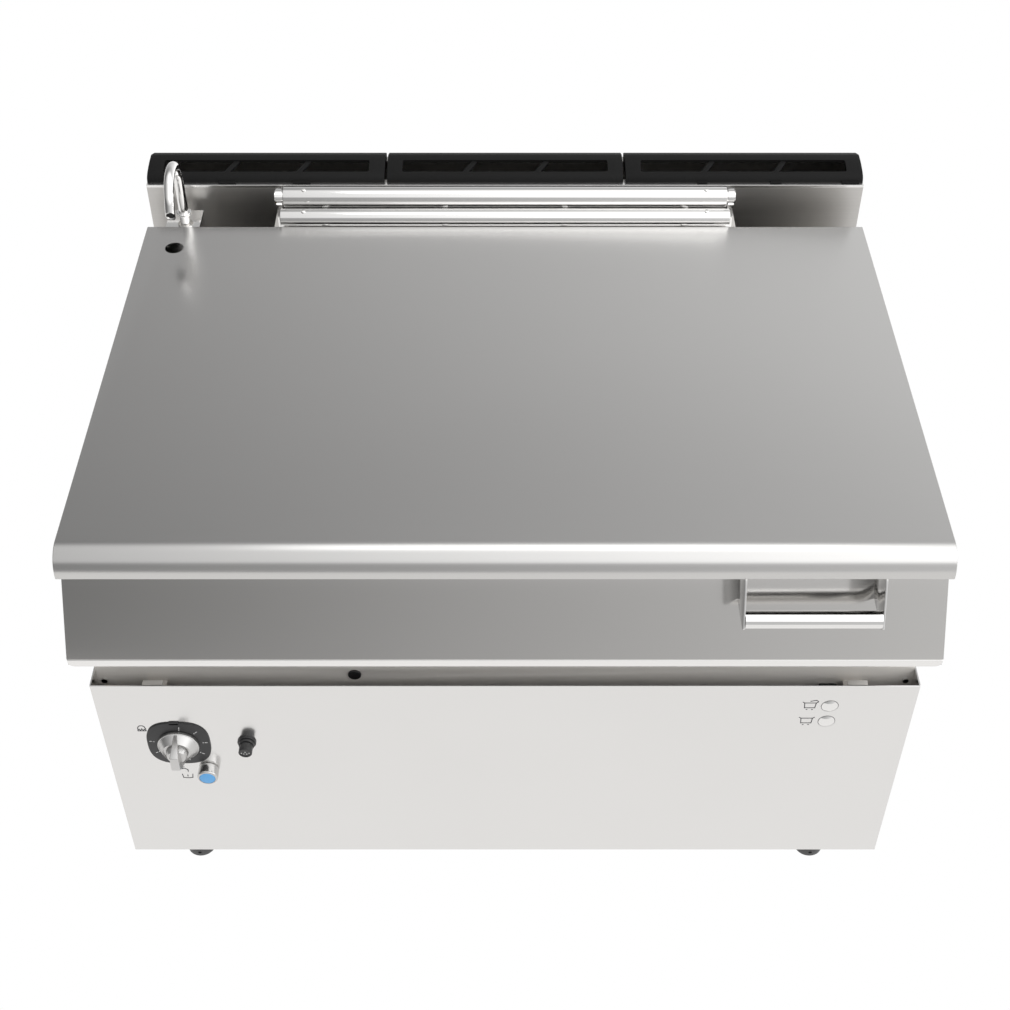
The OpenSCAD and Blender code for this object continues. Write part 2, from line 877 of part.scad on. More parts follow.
module pan_casing() {
    color("lightgray") union() {
        both() translate([half_w - sheet / 2, 0, 0]) casing_side();
        box([-half_w, casing_back - sheet, hem_bottom], [half_w, casing_back, rim_top - rim_t]);
        both() box(
            [half_w - 20, -apron_out + 20, hem_bottom],
            [half_w, casing_back - sheet, hem_bottom + sheet]
        );
    }
}

module pan_insulation() {
    gap = 2;
    side_x = vessel_x + vessel_t + gap;
    color("khaki") {
        both() box(
            [side_x, 110, hem_bottom + sheet + gap],
            [half_w - sheet - gap, vessel_back, rim_top - rim_t]
        );
        box(
            [-vessel_x, vessel_back + vessel_t, spreader_bottom + 50],
            [vessel_x, casing_back - sheet - gap, rim_top - rim_t]
        );
    }
}

// Two cross rails under the vessel and an arm at each end down to the trunnions
module pan_frame() {
    color("gray") {
        for (y = rail_y)
            difference() {
                box([-half_w + 24, y, rail_z], [half_w - 24, y + rail_d, spreader_bottom]);
                box(
                    [-half_w + 24 - cut, y + 3, rail_z - cut],
                    [half_w - 24 + cut, y + rail_d - 3, spreader_bottom - 3]
                );
            }
        both() difference() {
            union() {
                rod_x(arm_x, arm_x + arm_t, tilt_y, tilt_z, boss_r);
                translate([arm_x + arm_t / 2, 0, 0]) along_x(arm_t) polygon([
                    [tilt_y, tilt_z - boss_r * 0.98],
                    [rail_y[0], rail_z],
                    [rail_y[0], spreader_bottom - 3],
                    [tilt_y + 20, spreader_bottom - 3],
                    [tilt_y - 8, tilt_z + boss_r * 0.95]
                ]);
            }
            rod_x(arm_x - cut, arm_x + arm_t + cut, tilt_y, tilt_z, trunnion_r);
        }
    }
}

trunnion_in = bearing_x - bearing_w / 2 - 10;

module trunnion_left() {
    color("silver") difference() {
        rod_x(-trunnion_out, -trunnion_in, tilt_y, tilt_z, trunnion_r);
        rod_x(-trunnion_out - cut, -trunnion_in - 6, tilt_y, tilt_z, spout_r);
    }
}

module trunnion_right() {
    color("silver") rod_x(gear_x0 + 6, arm_x + arm_t + 4, tilt_y, tilt_z, trunnion_r);
}

// Carries water from the hollow trunnion under the pan and up to the spout
module feed_pipe() {
    low_x = -trunnion_in + spout_r + 2;
    low_z = tilt_z;
    color("silver") union() {
        pipe([
            [-trunnion_in, tilt_y, low_z],
            [low_x, tilt_y, low_z],
            [low_x, riser_y - 6, low_z],
            [spout_x, riser_y, low_z + 60],
            [spout_x, riser_y, riser_low]
        ], spout_r);
        translate([spout_x, riser_y, riser_low - 10]) cylinder(h = 20, r = spout_r + 3);
    }
}

shelf_z = hinge_z - 43;

web_y = lid_back + 1;
web_t = 3;

// Upright plate from the rear casing up behind the lid's rim
module hinge_web(x0, x1, top) {
    box([x0, casing_back, shelf_z - 64], [x1, web_y + web_t, rim_top - rim_t]);
    box([x0, web_y, rim_top - rim_t], [x1, web_y + web_t, top]);
}

// Shelf behind the pan that carries the hinge brackets, and the spout's bracket
module hinge_base() {
    plate_half = sleeve_half + 17;
    color("silver") {
        hinge_web(-plate_half, plate_half, shelf_z - 4);
        box([-plate_half, web_y, shelf_z - 4], [plate_half, flue_y - 9, shelf_z]);
        both() difference() {
            union() {
                box(
                    [sleeve_half + 2, hinge_y - 10, shelf_z],
                    [sleeve_half + 12, hinge_y + 12, hinge_z]
                );
                rod_x(sleeve_half + 2, sleeve_half + 12, hinge_y, hinge_z, sleeve_r - 3);
            }
            rod_x(sleeve_half + 2 - cut, sleeve_half + 12 + cut, hinge_y, hinge_z, hinge_r);
        }
        hinge_web(spout_x - 28, spout_x + 28, shelf_z + 6);
        difference() {
            box([spout_x - 28, web_y, shelf_z + 6], [spout_x + 28, riser_y + 24, shelf_z + 12]);
            translate([spout_x, riser_y, shelf_z]) cylinder(h = 20, r = spout_r);
        }
    }
}

module hinge_shaft() {
    color("silver") rod_x(-sleeve_half - 14, sleeve_half + 14, hinge_y, hinge_z, hinge_r);
}

// The spout's riser and its two bends, which meet in a low weld bead
module spout_shape(r) {
    bead = 4;
    bead_in = bead / 4;
    riser_h = bend_c[1] - bead_in - riser_low - 10;
    translate([spout_x, riser_y, riser_low + 10]) cylinder(h = riser_h, r = r);
    translate([spout_x, riser_y, bend_c[1]]) cylinder(h = bead, r = r + 0.4, center = true);
    translate([spout_x, bend_c[0], bend_c[1]]) rotate([90, 0, 90]) rotate([0, 0, 1.5 * bead_in])
        rotate_extrude(angle = arc_end - 2.5 * bead_in) translate([bend_r, 0]) circle(r, $fn = 32);
    translate([spout_x, hinge_y, hinge_z]) rotate([90, 0, 90]) rotate([0, 0, arc_end]) {
        rotate([0, 0, bead_in / 2]) rotate_extrude(angle = arc_start - arc_end - bead_in / 2)
            translate([arc_r, 0]) circle(r, $fn = 32);
        translate([arc_r, 0, 0]) rotate([90, 0, 0]) cylinder(h = bead, r = r + 0.4, center = true);
    }
}

module fill_spout() {
    color("silver") difference() {
        spout_shape(spout_r);
        translate([spout_x, hinge_y, hinge_z]) rotate([90, 0, 90]) rotate([0, 0, arc_start])
            translate([arc_r, cut, 0]) rotate([90, 0, 0]) cylinder(h = 12, r = spout_r - spout_wall);
    }
}

module spout_collar() {
    color("silver") translate([spout_x, riser_y, shelf_z + 12]) difference() {
        union() {
            cylinder(h = 9, r = spout_r + 6, $fn = 6);
            translate([0, 0, 9]) cylinder(h = 5, r = spout_r + 5);
        }
        translate([0, 0, -cut]) cylinder(h = 30, r = spout_r);
    }
}

// Lid

lid_under = work_h - lid_rim;
lid_mid = -lid_over + lid_r;

// Section of the lid, drawn t inside its outer face
module lid_section(t) {
    low = lid_under - (t > 0 ? cut : 0);
    intersection() {
        union() {
            translate([lid_mid, work_h - lid_r]) circle(lid_r - t, $fn = 96);
            translate([lid_mid, low]) square([lid_back - t - lid_mid, work_h - t - low]);
            translate([-lid_over + t, low]) square([lid_r, work_h - lid_r - low]);
        }
        translate([-lid_over, low]) square([lid_back + lid_over, lid_rim + 2 * cut]);
    }
}

module lid_skin() {
    color("silver") difference() {
        along_x(lid_w) lid_section(0);
        along_x(lid_w - 2 * sheet) lid_section(sheet);
        translate([-fill_x, fill_y, work_h - 2 * sheet]) cylinder(h = 4 * sheet, r = fill_hole_r);
    }
}

// Hat shaped ribs under the lid's top
module lid_stiffener() {
    rib_h = 22;
    color("lightgray") for (x = [-half_w / 2, 0, half_w / 2]) difference() {
        box([x - 30, 40, work_h - sheet - rib_h], [x + 30, fill_y - 20, work_h - sheet]);
        box(
            [x - 28, 40 - cut, work_h - sheet - rib_h + 2],
            [x + 28, fill_y - 20 + cut, work_h - sheet + cut]
        );
    }
}

gusset_clear = 3;

// Where the apron's outer face lies at a height
apron_rise = rim_top - rim_t - apron_low;
function apron_y(z) = apron_top_y - (rim_top - rim_t - z) * (apron_top_y + apron_out) / apron_rise;

// Two gussets under the lid's rim with a rolled bar between them
module lid_handle() {
    bar_z = lid_under - handle_drop;
    color("silver") translate([handle_x, 0, 0]) {
        for (s = [-1, 1])
            translate([s * (handle_w / 2 - gusset_t / 2), 0, 0]) along_x(gusset_t) polygon([
                [-lid_over, lid_under],
                [bar_front, bar_z + 6],
                [bar_front + 4, bar_z],
                [apron_y(bar_z) - gusset_clear, bar_z],
                [apron_y(rim_top - rim_t) - gusset_clear, rim_top - rim_t],
                [apron_y(rim_top - rim_t) - gusset_clear, lid_under + 14],
                [-lid_over + sheet + 2, lid_under + 14],
                [-lid_over + sheet, lid_under + 5],
                [-lid_over + sheet, lid_under]
            ]);
        along_x(handle_w - 2 * gusset_t) intersection() {
            union() {
                translate([bar_front + bar_size / 2, bar_z + bar_size / 2]) circle(bar_size / 2);
                translate([bar_front + bar_size / 2, bar_z]) square([bar_size / 2, bar_size]);
            }
            translate([bar_front, bar_z]) square([bar_size, bar_size]);
        }
    }
}

module hinge_sleeve() {
    color("silver") difference() {
        rod_x(-sleeve_half, sleeve_half, hinge_y, hinge_z, sleeve_r);
        rod_x(-sleeve_half - cut, sleeve_half + cut, hinge_y, hinge_z, hinge_r + run_gap);
    }
}

rear_tube = [lid_back + 21, work_h + 3];

// Tube along the lid's rear edge, with plates to the lid's rim and to the hinge sleeve
module lid_rear_tube() {
    span = [hinge_y, hinge_z] - rear_tube;
    reach = norm(span);
    tube_half = sleeve_half + 4;
    color("silver") difference() {
        union() {
            rod_x(-tube_half, tube_half, rear_tube[0], rear_tube[1], rear_tube_r);
            for (x = [for (k = [-3:2:3]) k * half_w / 6]) {
                box([x - 5, lid_back, shelf_z + 3], [x + 5, rear_tube[0], work_h - 4]);
                translate([x, rear_tube[0], rear_tube[1]]) rotate([atan2(span[1], span[0]), 0, 0])
                    translate([-5, 0, -9]) cube([10, reach, 18]);
            }
        }
        rod_x(-sleeve_half, sleeve_half, hinge_y, hinge_z, sleeve_r);
        rod_x(-tube_half - cut, tube_half + cut, rear_tube[0], rear_tube[1], rear_tube_r - 2);
    }
}

// Moves the drawn model to the centre of its footprint
module placed() {
    translate([0, -y_mid, 0]) children();
}

placed() front_panel();
placed() cross_panel();
placed() cable_plug();
placed() side_panel_left();
placed() side_panel_right();
placed() rear_panel();
placed() bottom_tray();
placed() base_frame();
placed() leg_sleeves();
placed() bearing_blocks();
placed() tilt_gearmotor();
placed() rotary_union();
placed() water_pipe();
placed() flue_duct();
placed() flue_grille_left();
placed() flue_grille_centre();
placed() flue_grille_right();
placed() burner_tray();
placed() burners();
placed() gas_manifold();
placed() gas_valve();
placed() igniter_collar();
placed() igniter_electrode();
placed() water_ring();
placed() water_valve();
placed() tilt_switches();
placed() terminal_box();
placed() knob_bezel();
placed() panel_screws();
placed() pan_vessel();
placed() heat_spreader();
placed() pan_rim();
placed() pan_apron();
placed() pan_casing();
placed() pan_insulation();
placed() pan_frame();
placed() trunnion_left();
placed() trunnion_right();
placed() hinge_base();
placed() hinge_shaft();
placed() fill_spout();
placed() spout_collar();
placed() feed_pipe();
placed() lid_skin();
placed() lid_stiffener();
placed() lid_handle();
placed() hinge_sleeve();
placed() lid_rear_tube();
placed() gas_knob();
placed() igniter_button();
placed() water_cap();
placed() tilt_button_up();
placed() tilt_button_down();
placed() foot_front_left();
placed() foot_front_right();
placed() foot_rear_left();
placed() foot_rear_right();
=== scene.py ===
"""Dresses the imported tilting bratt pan: finishes, smooth shells, controls and the studio."""

import contextlib
import json
import math

import bpy
import bmesh
from mathutils import Matrix, Vector


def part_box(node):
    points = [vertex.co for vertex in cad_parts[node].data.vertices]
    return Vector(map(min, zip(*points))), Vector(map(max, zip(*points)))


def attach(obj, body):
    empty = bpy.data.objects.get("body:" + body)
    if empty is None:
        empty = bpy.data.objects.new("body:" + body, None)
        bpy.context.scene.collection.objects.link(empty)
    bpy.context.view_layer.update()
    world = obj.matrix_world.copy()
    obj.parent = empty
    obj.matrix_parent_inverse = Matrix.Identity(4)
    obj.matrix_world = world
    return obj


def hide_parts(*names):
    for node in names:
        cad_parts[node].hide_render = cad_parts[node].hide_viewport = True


bl_info = {
    "name": "Tilting Bratt Pan Dressing",
    "version": (1, 0, 0),
    "blender": (4, 5, 0),
    "location": "3D View > Sidebar > Bratt Pan",
    "description": "Builds the visible pieces, finishes and studio of a gas tilting bratt pan",
    "category": "Object",
}

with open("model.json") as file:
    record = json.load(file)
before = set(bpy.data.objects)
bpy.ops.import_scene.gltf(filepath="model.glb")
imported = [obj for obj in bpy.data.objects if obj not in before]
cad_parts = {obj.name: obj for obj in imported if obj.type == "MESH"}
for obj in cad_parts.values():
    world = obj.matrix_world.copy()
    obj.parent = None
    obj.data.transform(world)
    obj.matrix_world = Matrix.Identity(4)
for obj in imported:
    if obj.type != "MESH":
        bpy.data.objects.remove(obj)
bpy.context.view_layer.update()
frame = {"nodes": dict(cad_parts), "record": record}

# Photograph: the camera's distance in front of the lid's flat edge, its height and its pitch
CAMERA_BACK = 1.4559
CAMERA_UP = 1.4443
CAMERA_PITCH = 43.49
FOCAL_PIXELS = 1565.6
PHOTO_PIXELS = 1010
SENSOR = 36.0

LIP_RADIUS = 0.034
FILL_HOLE_X = -0.536
STEM, STEM_BORE, NECK = 0.004, 0.00405, 0.006  # radii of a button's stem, its bore and neck
OVER = 0.01  # how far a cutter stands past the piece it cuts


def low(node):
    """Lowest corner of a CAD node's box."""
    return Vector(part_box(node)[0])


def high(node):
    """Highest corner of a CAD node's box."""
    return Vector(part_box(node)[1])


def corners(node):
    """Lowest and highest corner of a CAD node's box."""
    return low(node), high(node)


def middle(node):
    """Centre of a CAD node's box."""
    return (low(node) + high(node)) / 2


# Modelling helpers


def deselect():
    """Deselects every object."""
    bpy.ops.object.select_all(action="DESELECT")


def active(obj):
    """Selects one object alone and makes it the active one."""
    if bpy.context.mode != "OBJECT":
        bpy.ops.object.mode_set(mode="OBJECT")
    deselect()
    obj.select_set(True)
    bpy.context.view_layer.objects.active = obj


@contextlib.contextmanager
def editing(obj, select="SELECT"):
    """Edit mode on one object, with all of it or nothing selected."""
    active(obj)
    bpy.ops.object.mode_set(mode="EDIT")
    bpy.ops.mesh.select_all(action=select)
    yield
    bpy.ops.object.mode_set(mode="OBJECT")


def named(name):
    """Names the object just added and applies its place to its mesh."""
    obj = bpy.context.object
    obj.name = name
    obj.data.name = name
    active(obj)
    bpy.ops.object.transform_apply(location=True, rotation=True, scale=True)
    return obj


def block(name, a, b):
    """Box between two corners."""
    deselect()
    a, b = Vector(a), Vector(b)
    bpy.ops.mesh.primitive_cube_add(size=1, location=(a + b) / 2, scale=b - a)
    return named(name)


def rod(name, a, b, radius, sides=48, tip=None):
    """Round bar from a to b, tapering to the radius tip if it is given."""
    deselect()
    a, b = Vector(a), Vector(b)
    turn = (b - a).to_track_quat("Z", "Y").to_euler()
    bpy.ops.mesh.primitive_cone_add(
        vertices=sides, radius1=radius, radius2=radius if tip is None else tip,
        depth=(b - a).length, location=(a + b) / 2, rotation=turn,
    )
    return named(name)


def lengthwise(name, x0, x1, y, z, radius, sides=96):
    """Round bar along X, between two places across the pan."""
    return rod(name, (x0, y, z), (x1, y, z), radius, sides)


def turned(name, centre, y0, y1, radius, sides=48, tip=None):
    """Round piece along Y, from y0 to y1 about a centre."""
    return rod(name, (centre.x, y0, centre.z), (centre.x, y1, centre.z), radius, sides, tip)


def upright(name, x, y, z0, z1, radius, sides=48):
    """Round piece along Z, from z0 to z1."""
    return rod(name, (x, y, z0), (x, y, z1), radius, sides)


def apply_modifier(obj, kind, **values):
    """Adds a modifier with its values and applies it."""
    active(obj)
    mod = obj.modifiers.new(kind.title(), kind)
    for key, value in values.items():
        setattr(mod, key, value)
    bpy.ops.object.modifier_apply(modifier=mod.name)
    return obj


def bevel(obj, width, segments=3, angle=30):
    """Rounds the edges that turn by more than an angle."""
    return apply_modifier(
        obj, "BEVEL", width=width, segments=segments, limit_method="ANGLE",
        angle_limit=math.radians(angle), harden_normals=False,
    )


def cut(obj, *cutters):
    """Takes cutters out of a piece and deletes them."""
    for cutter in cutters:
        apply_modifier(obj, "BOOLEAN", operation="DIFFERENCE", object=cutter, solver="EXACT")
        bpy.data.objects.remove(cutter)


def joined(name, *objs):
    """Joins pieces into one object."""
    active(objs[0])
    for obj in objs[1:]:
        obj.select_set(True)
    bpy.ops.object.join()
    objs[0].name = name
    return objs[0]


def smooth(obj, angle=35):
    """Shades smooth except across edges sharper than an angle."""
    active(obj)
    bpy.ops.object.shade_smooth_by_angle(angle=math.radians(angle))
    return obj


def outward(obj):
    """Merges doubles and turns every face outwards."""
    with editing(obj):
        bpy.ops.mesh.remove_doubles(threshold=1e-6)
        bpy.ops.mesh.normals_make_consistent(inside=False)
    return obj


def moved(obj, at, turn=Matrix()):
    """Turns a piece made at the origin and moves it to its place."""
    obj.data.transform(Matrix.Translation(at) @ turn)
    return obj


def spun(degrees, axis):
    """Turn about an axis through the origin."""
    return Matrix.Rotation(math.radians(degrees), 4, axis)


def extrude(step):
    """Extrudes what is selected in edit mode by a step."""
    bpy.ops.mesh.extrude_region_move(TRANSFORM_OT_translate={"value": Vector(step)})


def drawn(name, points, closed):
    """Draws a line of points by extruding one vertex, and fills it if it is closed."""
    deselect()
    bpy.ops.mesh.primitive_plane_add(size=0.001, location=points[0])
    obj = named(name)
    with editing(obj):
        bpy.ops.mesh.merge(type="CENTER")
        for before, after in zip(points, points[1:]):
            extrude(Vector(after) - Vector(before))
        if closed:
            bpy.ops.mesh.select_all(action="SELECT")
            bpy.ops.mesh.edge_face_add()
    return obj


def round_bar(name, points, radius):
    """Round bar along a line of points."""
    active(drawn(name, points, False))
    bpy.ops.object.convert(target="CURVE")
    curve = bpy.context.object.data
    curve.bevel_depth = radius
    curve.bevel_resolution = 7
    curve.use_fill_caps = True
    bpy.ops.object.convert(target="MESH")
    return outward(bpy.context.object)


def prism(name, section, x0, x1):
    """Solid with a section drawn in Y and Z, from x0 to x1."""
    obj = drawn(name, [(x0, y, z) for y, z in section], True)
    with editing(obj):
        extrude((x1 - x0, 0, 0))
    return outward(obj)


def arc(centre, radius, start, end, steps):
    """Points along an arc in Y and Z, with its angles in degrees."""
    turns = [math.radians(start + (end - start) * k / steps) for k in range(steps + 1)]
    return [(centre[0] + radius * math.cos(t), centre[1] + radius * math.sin(t)) for t in turns]


def place(obj, body, slot, *nodes, finish=None):
    """Gives a finished piece its material, its body and the CAD nodes it stands for."""
    obj.data.materials.clear()
    obj.data.materials.append(FINISHES[finish or slot])
    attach(obj, body)
    if nodes:
        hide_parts(*nodes)


# Finishes, kept by name here because the CAD's own materials have some of the names

FINISHES = {}


def group(name, **inputs):
    """New shader node group, as (tree, sockets that come in, sockets that go out)."""
    tree = bpy.data.node_groups.new(name, "ShaderNodeTree")
    for label, value in inputs.items():
        kind = {1: "Float", 3: "Vector", 4: "Color"}[len(value) if isinstance(value, tuple) else 1]
        socket = tree.interface.new_socket(
            name=label, in_out="INPUT", socket_type="NodeSocket" + kind)
        socket.default_value = value
    for label, kind in (("Color", "Color"), ("Roughness", "Float"), ("Height", "Float")):
        tree.interface.new_socket(name=label, in_out="OUTPUT", socket_type="NodeSocket" + kind)
    return tree, tree.nodes.new("NodeGroupInput").outputs, tree.nodes.new("NodeGroupOutput").inputs


def linked(tree, kind, values=None, **sources):
    """New node in a tree with socket values and links from other sockets."""
    node = tree.nodes.new("ShaderNode" + kind)
    for key, value in (values or {}).items():
        if isinstance(key, str) and hasattr(node, key):
            setattr(node, key, value)
        else:
            node.inputs[key].default_value = value
    for key, source in sources.items():
        tree.links.new(source, node.inputs[int(key[1:]) if key[0] == "_" else key])
    return node


def worked_out(tree, operation, first, second):
    """Result of a math node on two values, each a socket or a number."""
    node = linked(tree, "Math", {"operation": operation})
    for socket, value in zip(node.inputs, (first, second)):
        if isinstance(value, float):
            socket.default_value = value
        else:
            tree.links.new(value, socket)
    return node.outputs[0]


def object_place(tree):
    """Place on the object, which every pattern reads."""
    return linked(tree, "TexCoord").outputs["Object"]


def put_out(tree, into, out, noise, grain, swing):
    """Ends a group: tone and roughness that swing with the grain, and the noise as height."""
    gain = worked_out(tree, "ADD", swing, 1.0)
    toned = linked(tree, "VectorMath", {"operation": "SCALE"}, _0=into["Tone"], Scale=gain)
    spread = worked_out(tree, "MULTIPLY", grain, into["Spread"])
    tree.links.new(toned.outputs[0], out["Color"])
    tree.links.new(worked_out(tree, "ADD", spread, into["Rough"]), out["Roughness"])
    tree.links.new(noise, out["Height"])


def brushed_group():
    """Directional grain: fine streaks along one axis and broad cloudy tone."""
    tree, into, out = group("brushed_grain", Stretch=(20, 900, 900), Tone=(0.6, 0.6, 0.6, 1),
                            Streak=0.1, Cloud=0.06, Rough=0.35, Spread=0.08)
    at = object_place(tree)
    scaled = linked(tree, "VectorMath", {"operation": "MULTIPLY"}, _0=at, _1=into["Stretch"])
    streaks = linked(tree, "TexNoise", {"Scale": 1.0, "Detail": 4.0, "Roughness": 0.6},
                     _0=scaled.outputs[0]).outputs["Fac"]
    clouds = linked(tree, "TexNoise", {"Scale": 3.0, "Detail": 3.0}, _0=at).outputs["Fac"]
    grain = worked_out(tree, "SUBTRACT", streaks, 0.5)
    drift = worked_out(tree, "SUBTRACT", clouds, 0.5)
    swing = worked_out(tree, "ADD", worked_out(tree, "MULTIPLY", grain, into["Streak"]),
                       worked_out(tree, "MULTIPLY", drift, into["Cloud"]))
    put_out(tree, into, out, streaks, grain, swing)


def speckle_group():
    """Even fine grain for castings, mouldings, paint and mineral board."""
    tree, into, out = group("fine_speckle", Scale=900.0, Tone=(0.1, 0.1, 0.1, 1), Contrast=0.3,
                            Rough=0.5, Spread=0.15)
    noise = linked(tree, "TexNoise", {"Detail": 2.0, "Roughness": 0.7},
                   _0=object_place(tree), Scale=into["Scale"]).outputs["Fac"]
    grain = worked_out(tree, "SUBTRACT", noise, 0.5)
    swing = worked_out(tree, "MULTIPLY", grain, into["Contrast"])
    put_out(tree, into, out, noise, grain, swing)


def surface(name, source, values, metal, bump, coat=0.0, specular=0.5):
    """Adds a finish that takes colour, roughness and bump from a shared group."""
    mat = bpy.data.materials.new(name)
    mat.use_nodes = True
    tree = mat.node_tree
    shader = tree.nodes["Principled BSDF"].inputs
    shader["Metallic"].default_value = metal
    shader["Coat Weight"].default_value = coat
    shader["Specular IOR Level"].default_value = specular
    effect = tree.nodes.new("ShaderNodeGroup")
    effect.node_tree = bpy.data.node_groups[source]
    for key, value in values.items():
        effect.inputs[key].default_value = value
    tree.links.new(effect.outputs["Color"], shader["Base Color"])
    tree.links.new(effect.outputs["Roughness"], shader["Roughness"])
    relief = linked(tree, "Bump", {"Strength": bump, "Distance": 0.0004},
                    Height=effect.outputs["Height"])
    tree.links.new(relief.outputs["Normal"], shader["Normal"])
    FINISHES[name] = mat


def steel(name, grey, rough, warm=0.02, streak=0.08, cloud=0.04, spread=0.08, bump=0.05,
          along="X"):
    """Stainless sheet or bar with its grain along an axis, warmed by lowering its blue."""
    stretch = {"X": (6, 700, 700), "Y": (700, 6, 700), "Z": (700, 700, 6),
               "even": (500, 500, 500)}[along]
    tone = (grey, grey * (1 - warm * 0.4), grey * (1 - warm), 1)
    values = {"Stretch": stretch, "Tone": tone, "Streak": streak, "Cloud": cloud,
              "Rough": rough, "Spread": spread}
    surface(name, "brushed_grain", values, 1.0, bump)


def cast(name, colour, rough, scale=900.0, contrast=0.4, bump=0.3, metal=0.0, coat=0.0,
         specular=0.5):
    """Cast, moulded, painted or fibrous material."""
    values = {"Scale": scale, "Tone": (*colour, 1), "Contrast": contrast, "Rough": rough,
              "Spread": 0.15}
    surface(name, "fine_speckle", values, metal, bump, coat, specular)


def make_finishes():
    """Builds the shared groups and every material."""
    brushed_group()
    speckle_group()
    steel("panel_steel", 0.80, 0.19, streak=0.02, spread=0.03, bump=0.02)
    steel("duct_steel", 0.62, 0.34, warm=0.05, streak=0.18, spread=0.15, bump=0.10)
    steel("frame_steel", 0.50, 0.45, along="even", streak=0.2)
    steel("lid_steel", 0.64, 0.24, warm=0.025, streak=0.03, cloud=0.02, spread=0.04,
          bump=0.01)
    steel("apron_steel", 0.62, 0.15, warm=0.04, streak=0.02, spread=0.03, bump=0.01)
    steel("vessel_steel", 0.58, 0.30, streak=0.12, spread=0.12, bump=0.08)
    steel("bright_steel", 0.86, 0.10, streak=0.03, spread=0.04, bump=0.02)
    # Lighter copy of the apron steel: painted highlight on the apron's hem, also used on the flue
    # trim
    steel("hem_steel", 0.88, 0.20, streak=0.02, spread=0.03, bump=0.01)
    steel("chrome", 0.90, 0.05, streak=0.0, spread=0.01, bump=0.0)
    steel("knob_silver", 0.62, 0.34, along="Z", streak=0.04, spread=0.05)
    steel("ring_steel", 0.62, 0.24, along="Y", streak=0.03, spread=0.04)
    cast("cross_grey", (0.80, 0.77, 0.73), 0.5, contrast=0.15, bump=0.05, metal=0.1)
    cast("cast_black", (0.011, 0.011, 0.011), 0.6, contrast=1.2, bump=0.5, specular=0.12)
    cast("black_plastic", (0.020, 0.020, 0.021), 0.32, contrast=0.2, bump=0.08, coat=0.2)
    cast("bezel_black", (0.026, 0.026, 0.027), 0.42, contrast=0.2, bump=0.05)
    cast("scale_white", (0.75, 0.75, 0.75), 0.5, contrast=0.1, bump=0.02)
    cast("sign_grey", (0.08, 0.08, 0.085), 0.5, contrast=0.1, bump=0.02)
    cast("brass", (0.74, 0.56, 0.26), 0.28, 500.0, contrast=0.15, bump=0.08, metal=1.0)
    cast("drive_paint", (0.06, 0.08, 0.11), 0.38, 600.0, contrast=0.15, bump=0.25, coat=0.3)
    cast("box_steel", (0.42, 0.42, 0.42), 0.45, 500.0, contrast=0.1, bump=0.1)
    cast("blue_plastic", (0.10, 0.40, 0.80), 0.28, contrast=0.08, bump=0.03, coat=0.4)
    cast("ceramic", (0.80, 0.79, 0.74), 0.2, contrast=0.06, bump=0.03, coat=0.6)
    cast("mineral_board", (0.55, 0.47, 0.30), 0.9, 260.0, contrast=0.9, bump=0.8)
    cast("spreader_steel", (0.10, 0.10, 0.105), 0.5, 400.0, metal=0.8)
    cast("foot_dark", (0.06, 0.06, 0.062), 0.5, contrast=0.2, bump=0.1)
    # Black for the inside of the spout's bore: painted shade
    cast("socket_dark", (0.01, 0.01, 0.01), 0.7, contrast=0.2, bump=0.05)


# Sizes and colours a user would change


def number(kind, name, description, default, least, most, **more):
    """Property for a number, with its default and its range."""
    return kind(name=name, description=description, default=default, min=least, max=most,
                **more)


def length(*row):
    """Property for a length in metres."""
    return number(bpy.props.FloatProperty, *row, unit="LENGTH")


class PanSizes(bpy.types.PropertyGroup):
    """Sizes of the pan, lid, hinge and flue that the CAD boxes don't give."""

    sheet: length("Sheet", "Thickness of sheet metal", 0.002, 0.001, 0.004)
    lip_radius: length("Lip radius", "Radius of the lid's rounded front edge",
                       LIP_RADIUS, 0.01, 0.038)
    hem_height: length("Hem height", "Height of the apron's vertical hem", 0.014, 0.008, 0.02)
    hem_corner: length("Hem corner", "Radius of the hem's end corners", 0.009, 0.002, 0.013)
    hole_radius: length("Fill hole", "Radius of the fill hole in the lid", 0.015, 0.013, 0.02)
    hole_back: length("Fill hole from the edge", "Fill hole to the lid's rear edge",
                      0.064, 0.055, 0.075)
    hinge_back: length("Hinge axis", "Hinge axis behind the lid's rear edge",
                       0.049, 0.046, 0.052)
    hinge_up: length("Hinge height", "Hinge axis above the lid's top", 0.025, 0.024, 0.028)
    pipe_radius: length("Spout pipe", "Radius of the fill spout's pipe", 0.008, 0.006, 0.009)
    bar_count: number(bpy.props.IntProperty, "Grille bars",
                      "Diagonal bars across each grille's slot", 2, 0, 4)


class ControlSizes(bpy.types.PropertyGroup):
    """Sizes of the knob, buttons and signs."""

    knob_radius: length("Knob", "Radius of the knob's skirt", 0.031, 0.024, 0.036)
    mark_count: number(bpy.props.IntProperty, "Scale marks", "Marks around the knob's bezel",
                       8, 4, 12)
    sign_line: length("Sign line", "Width of the lines of the signs", 0.0014, 0.0005, 0.002)


class StudioSettings(bpy.types.PropertyGroup):
    """Light levels and colours of the studio."""

    key_power: number(bpy.props.FloatProperty, "Key lamp",
                      "Power of the large lamp above the object", 8.0, 0.0, 200.0, unit="POWER")
    ambient: number(bpy.props.FloatProperty, "Ambient",
                    "Strength of the even light on the object", 1.0, 0.0, 2.0)
    side_light: number(bpy.props.FloatProperty, "Side light",
                       "How much brighter the right side is than the left", 0.8, 0.0, 1.0)
    floor_light: number(bpy.props.FloatProperty, "Floor light", "Glow of the studio floor",
                        0.92, 0.0, 2.0)
    floor_colour: bpy.props.FloatVectorProperty(
        name="Floor", description="Colour of the studio floor", subtype="COLOR",
        default=(1.0, 0.99, 0.98), min=0.0, max=1.0)


# Operators


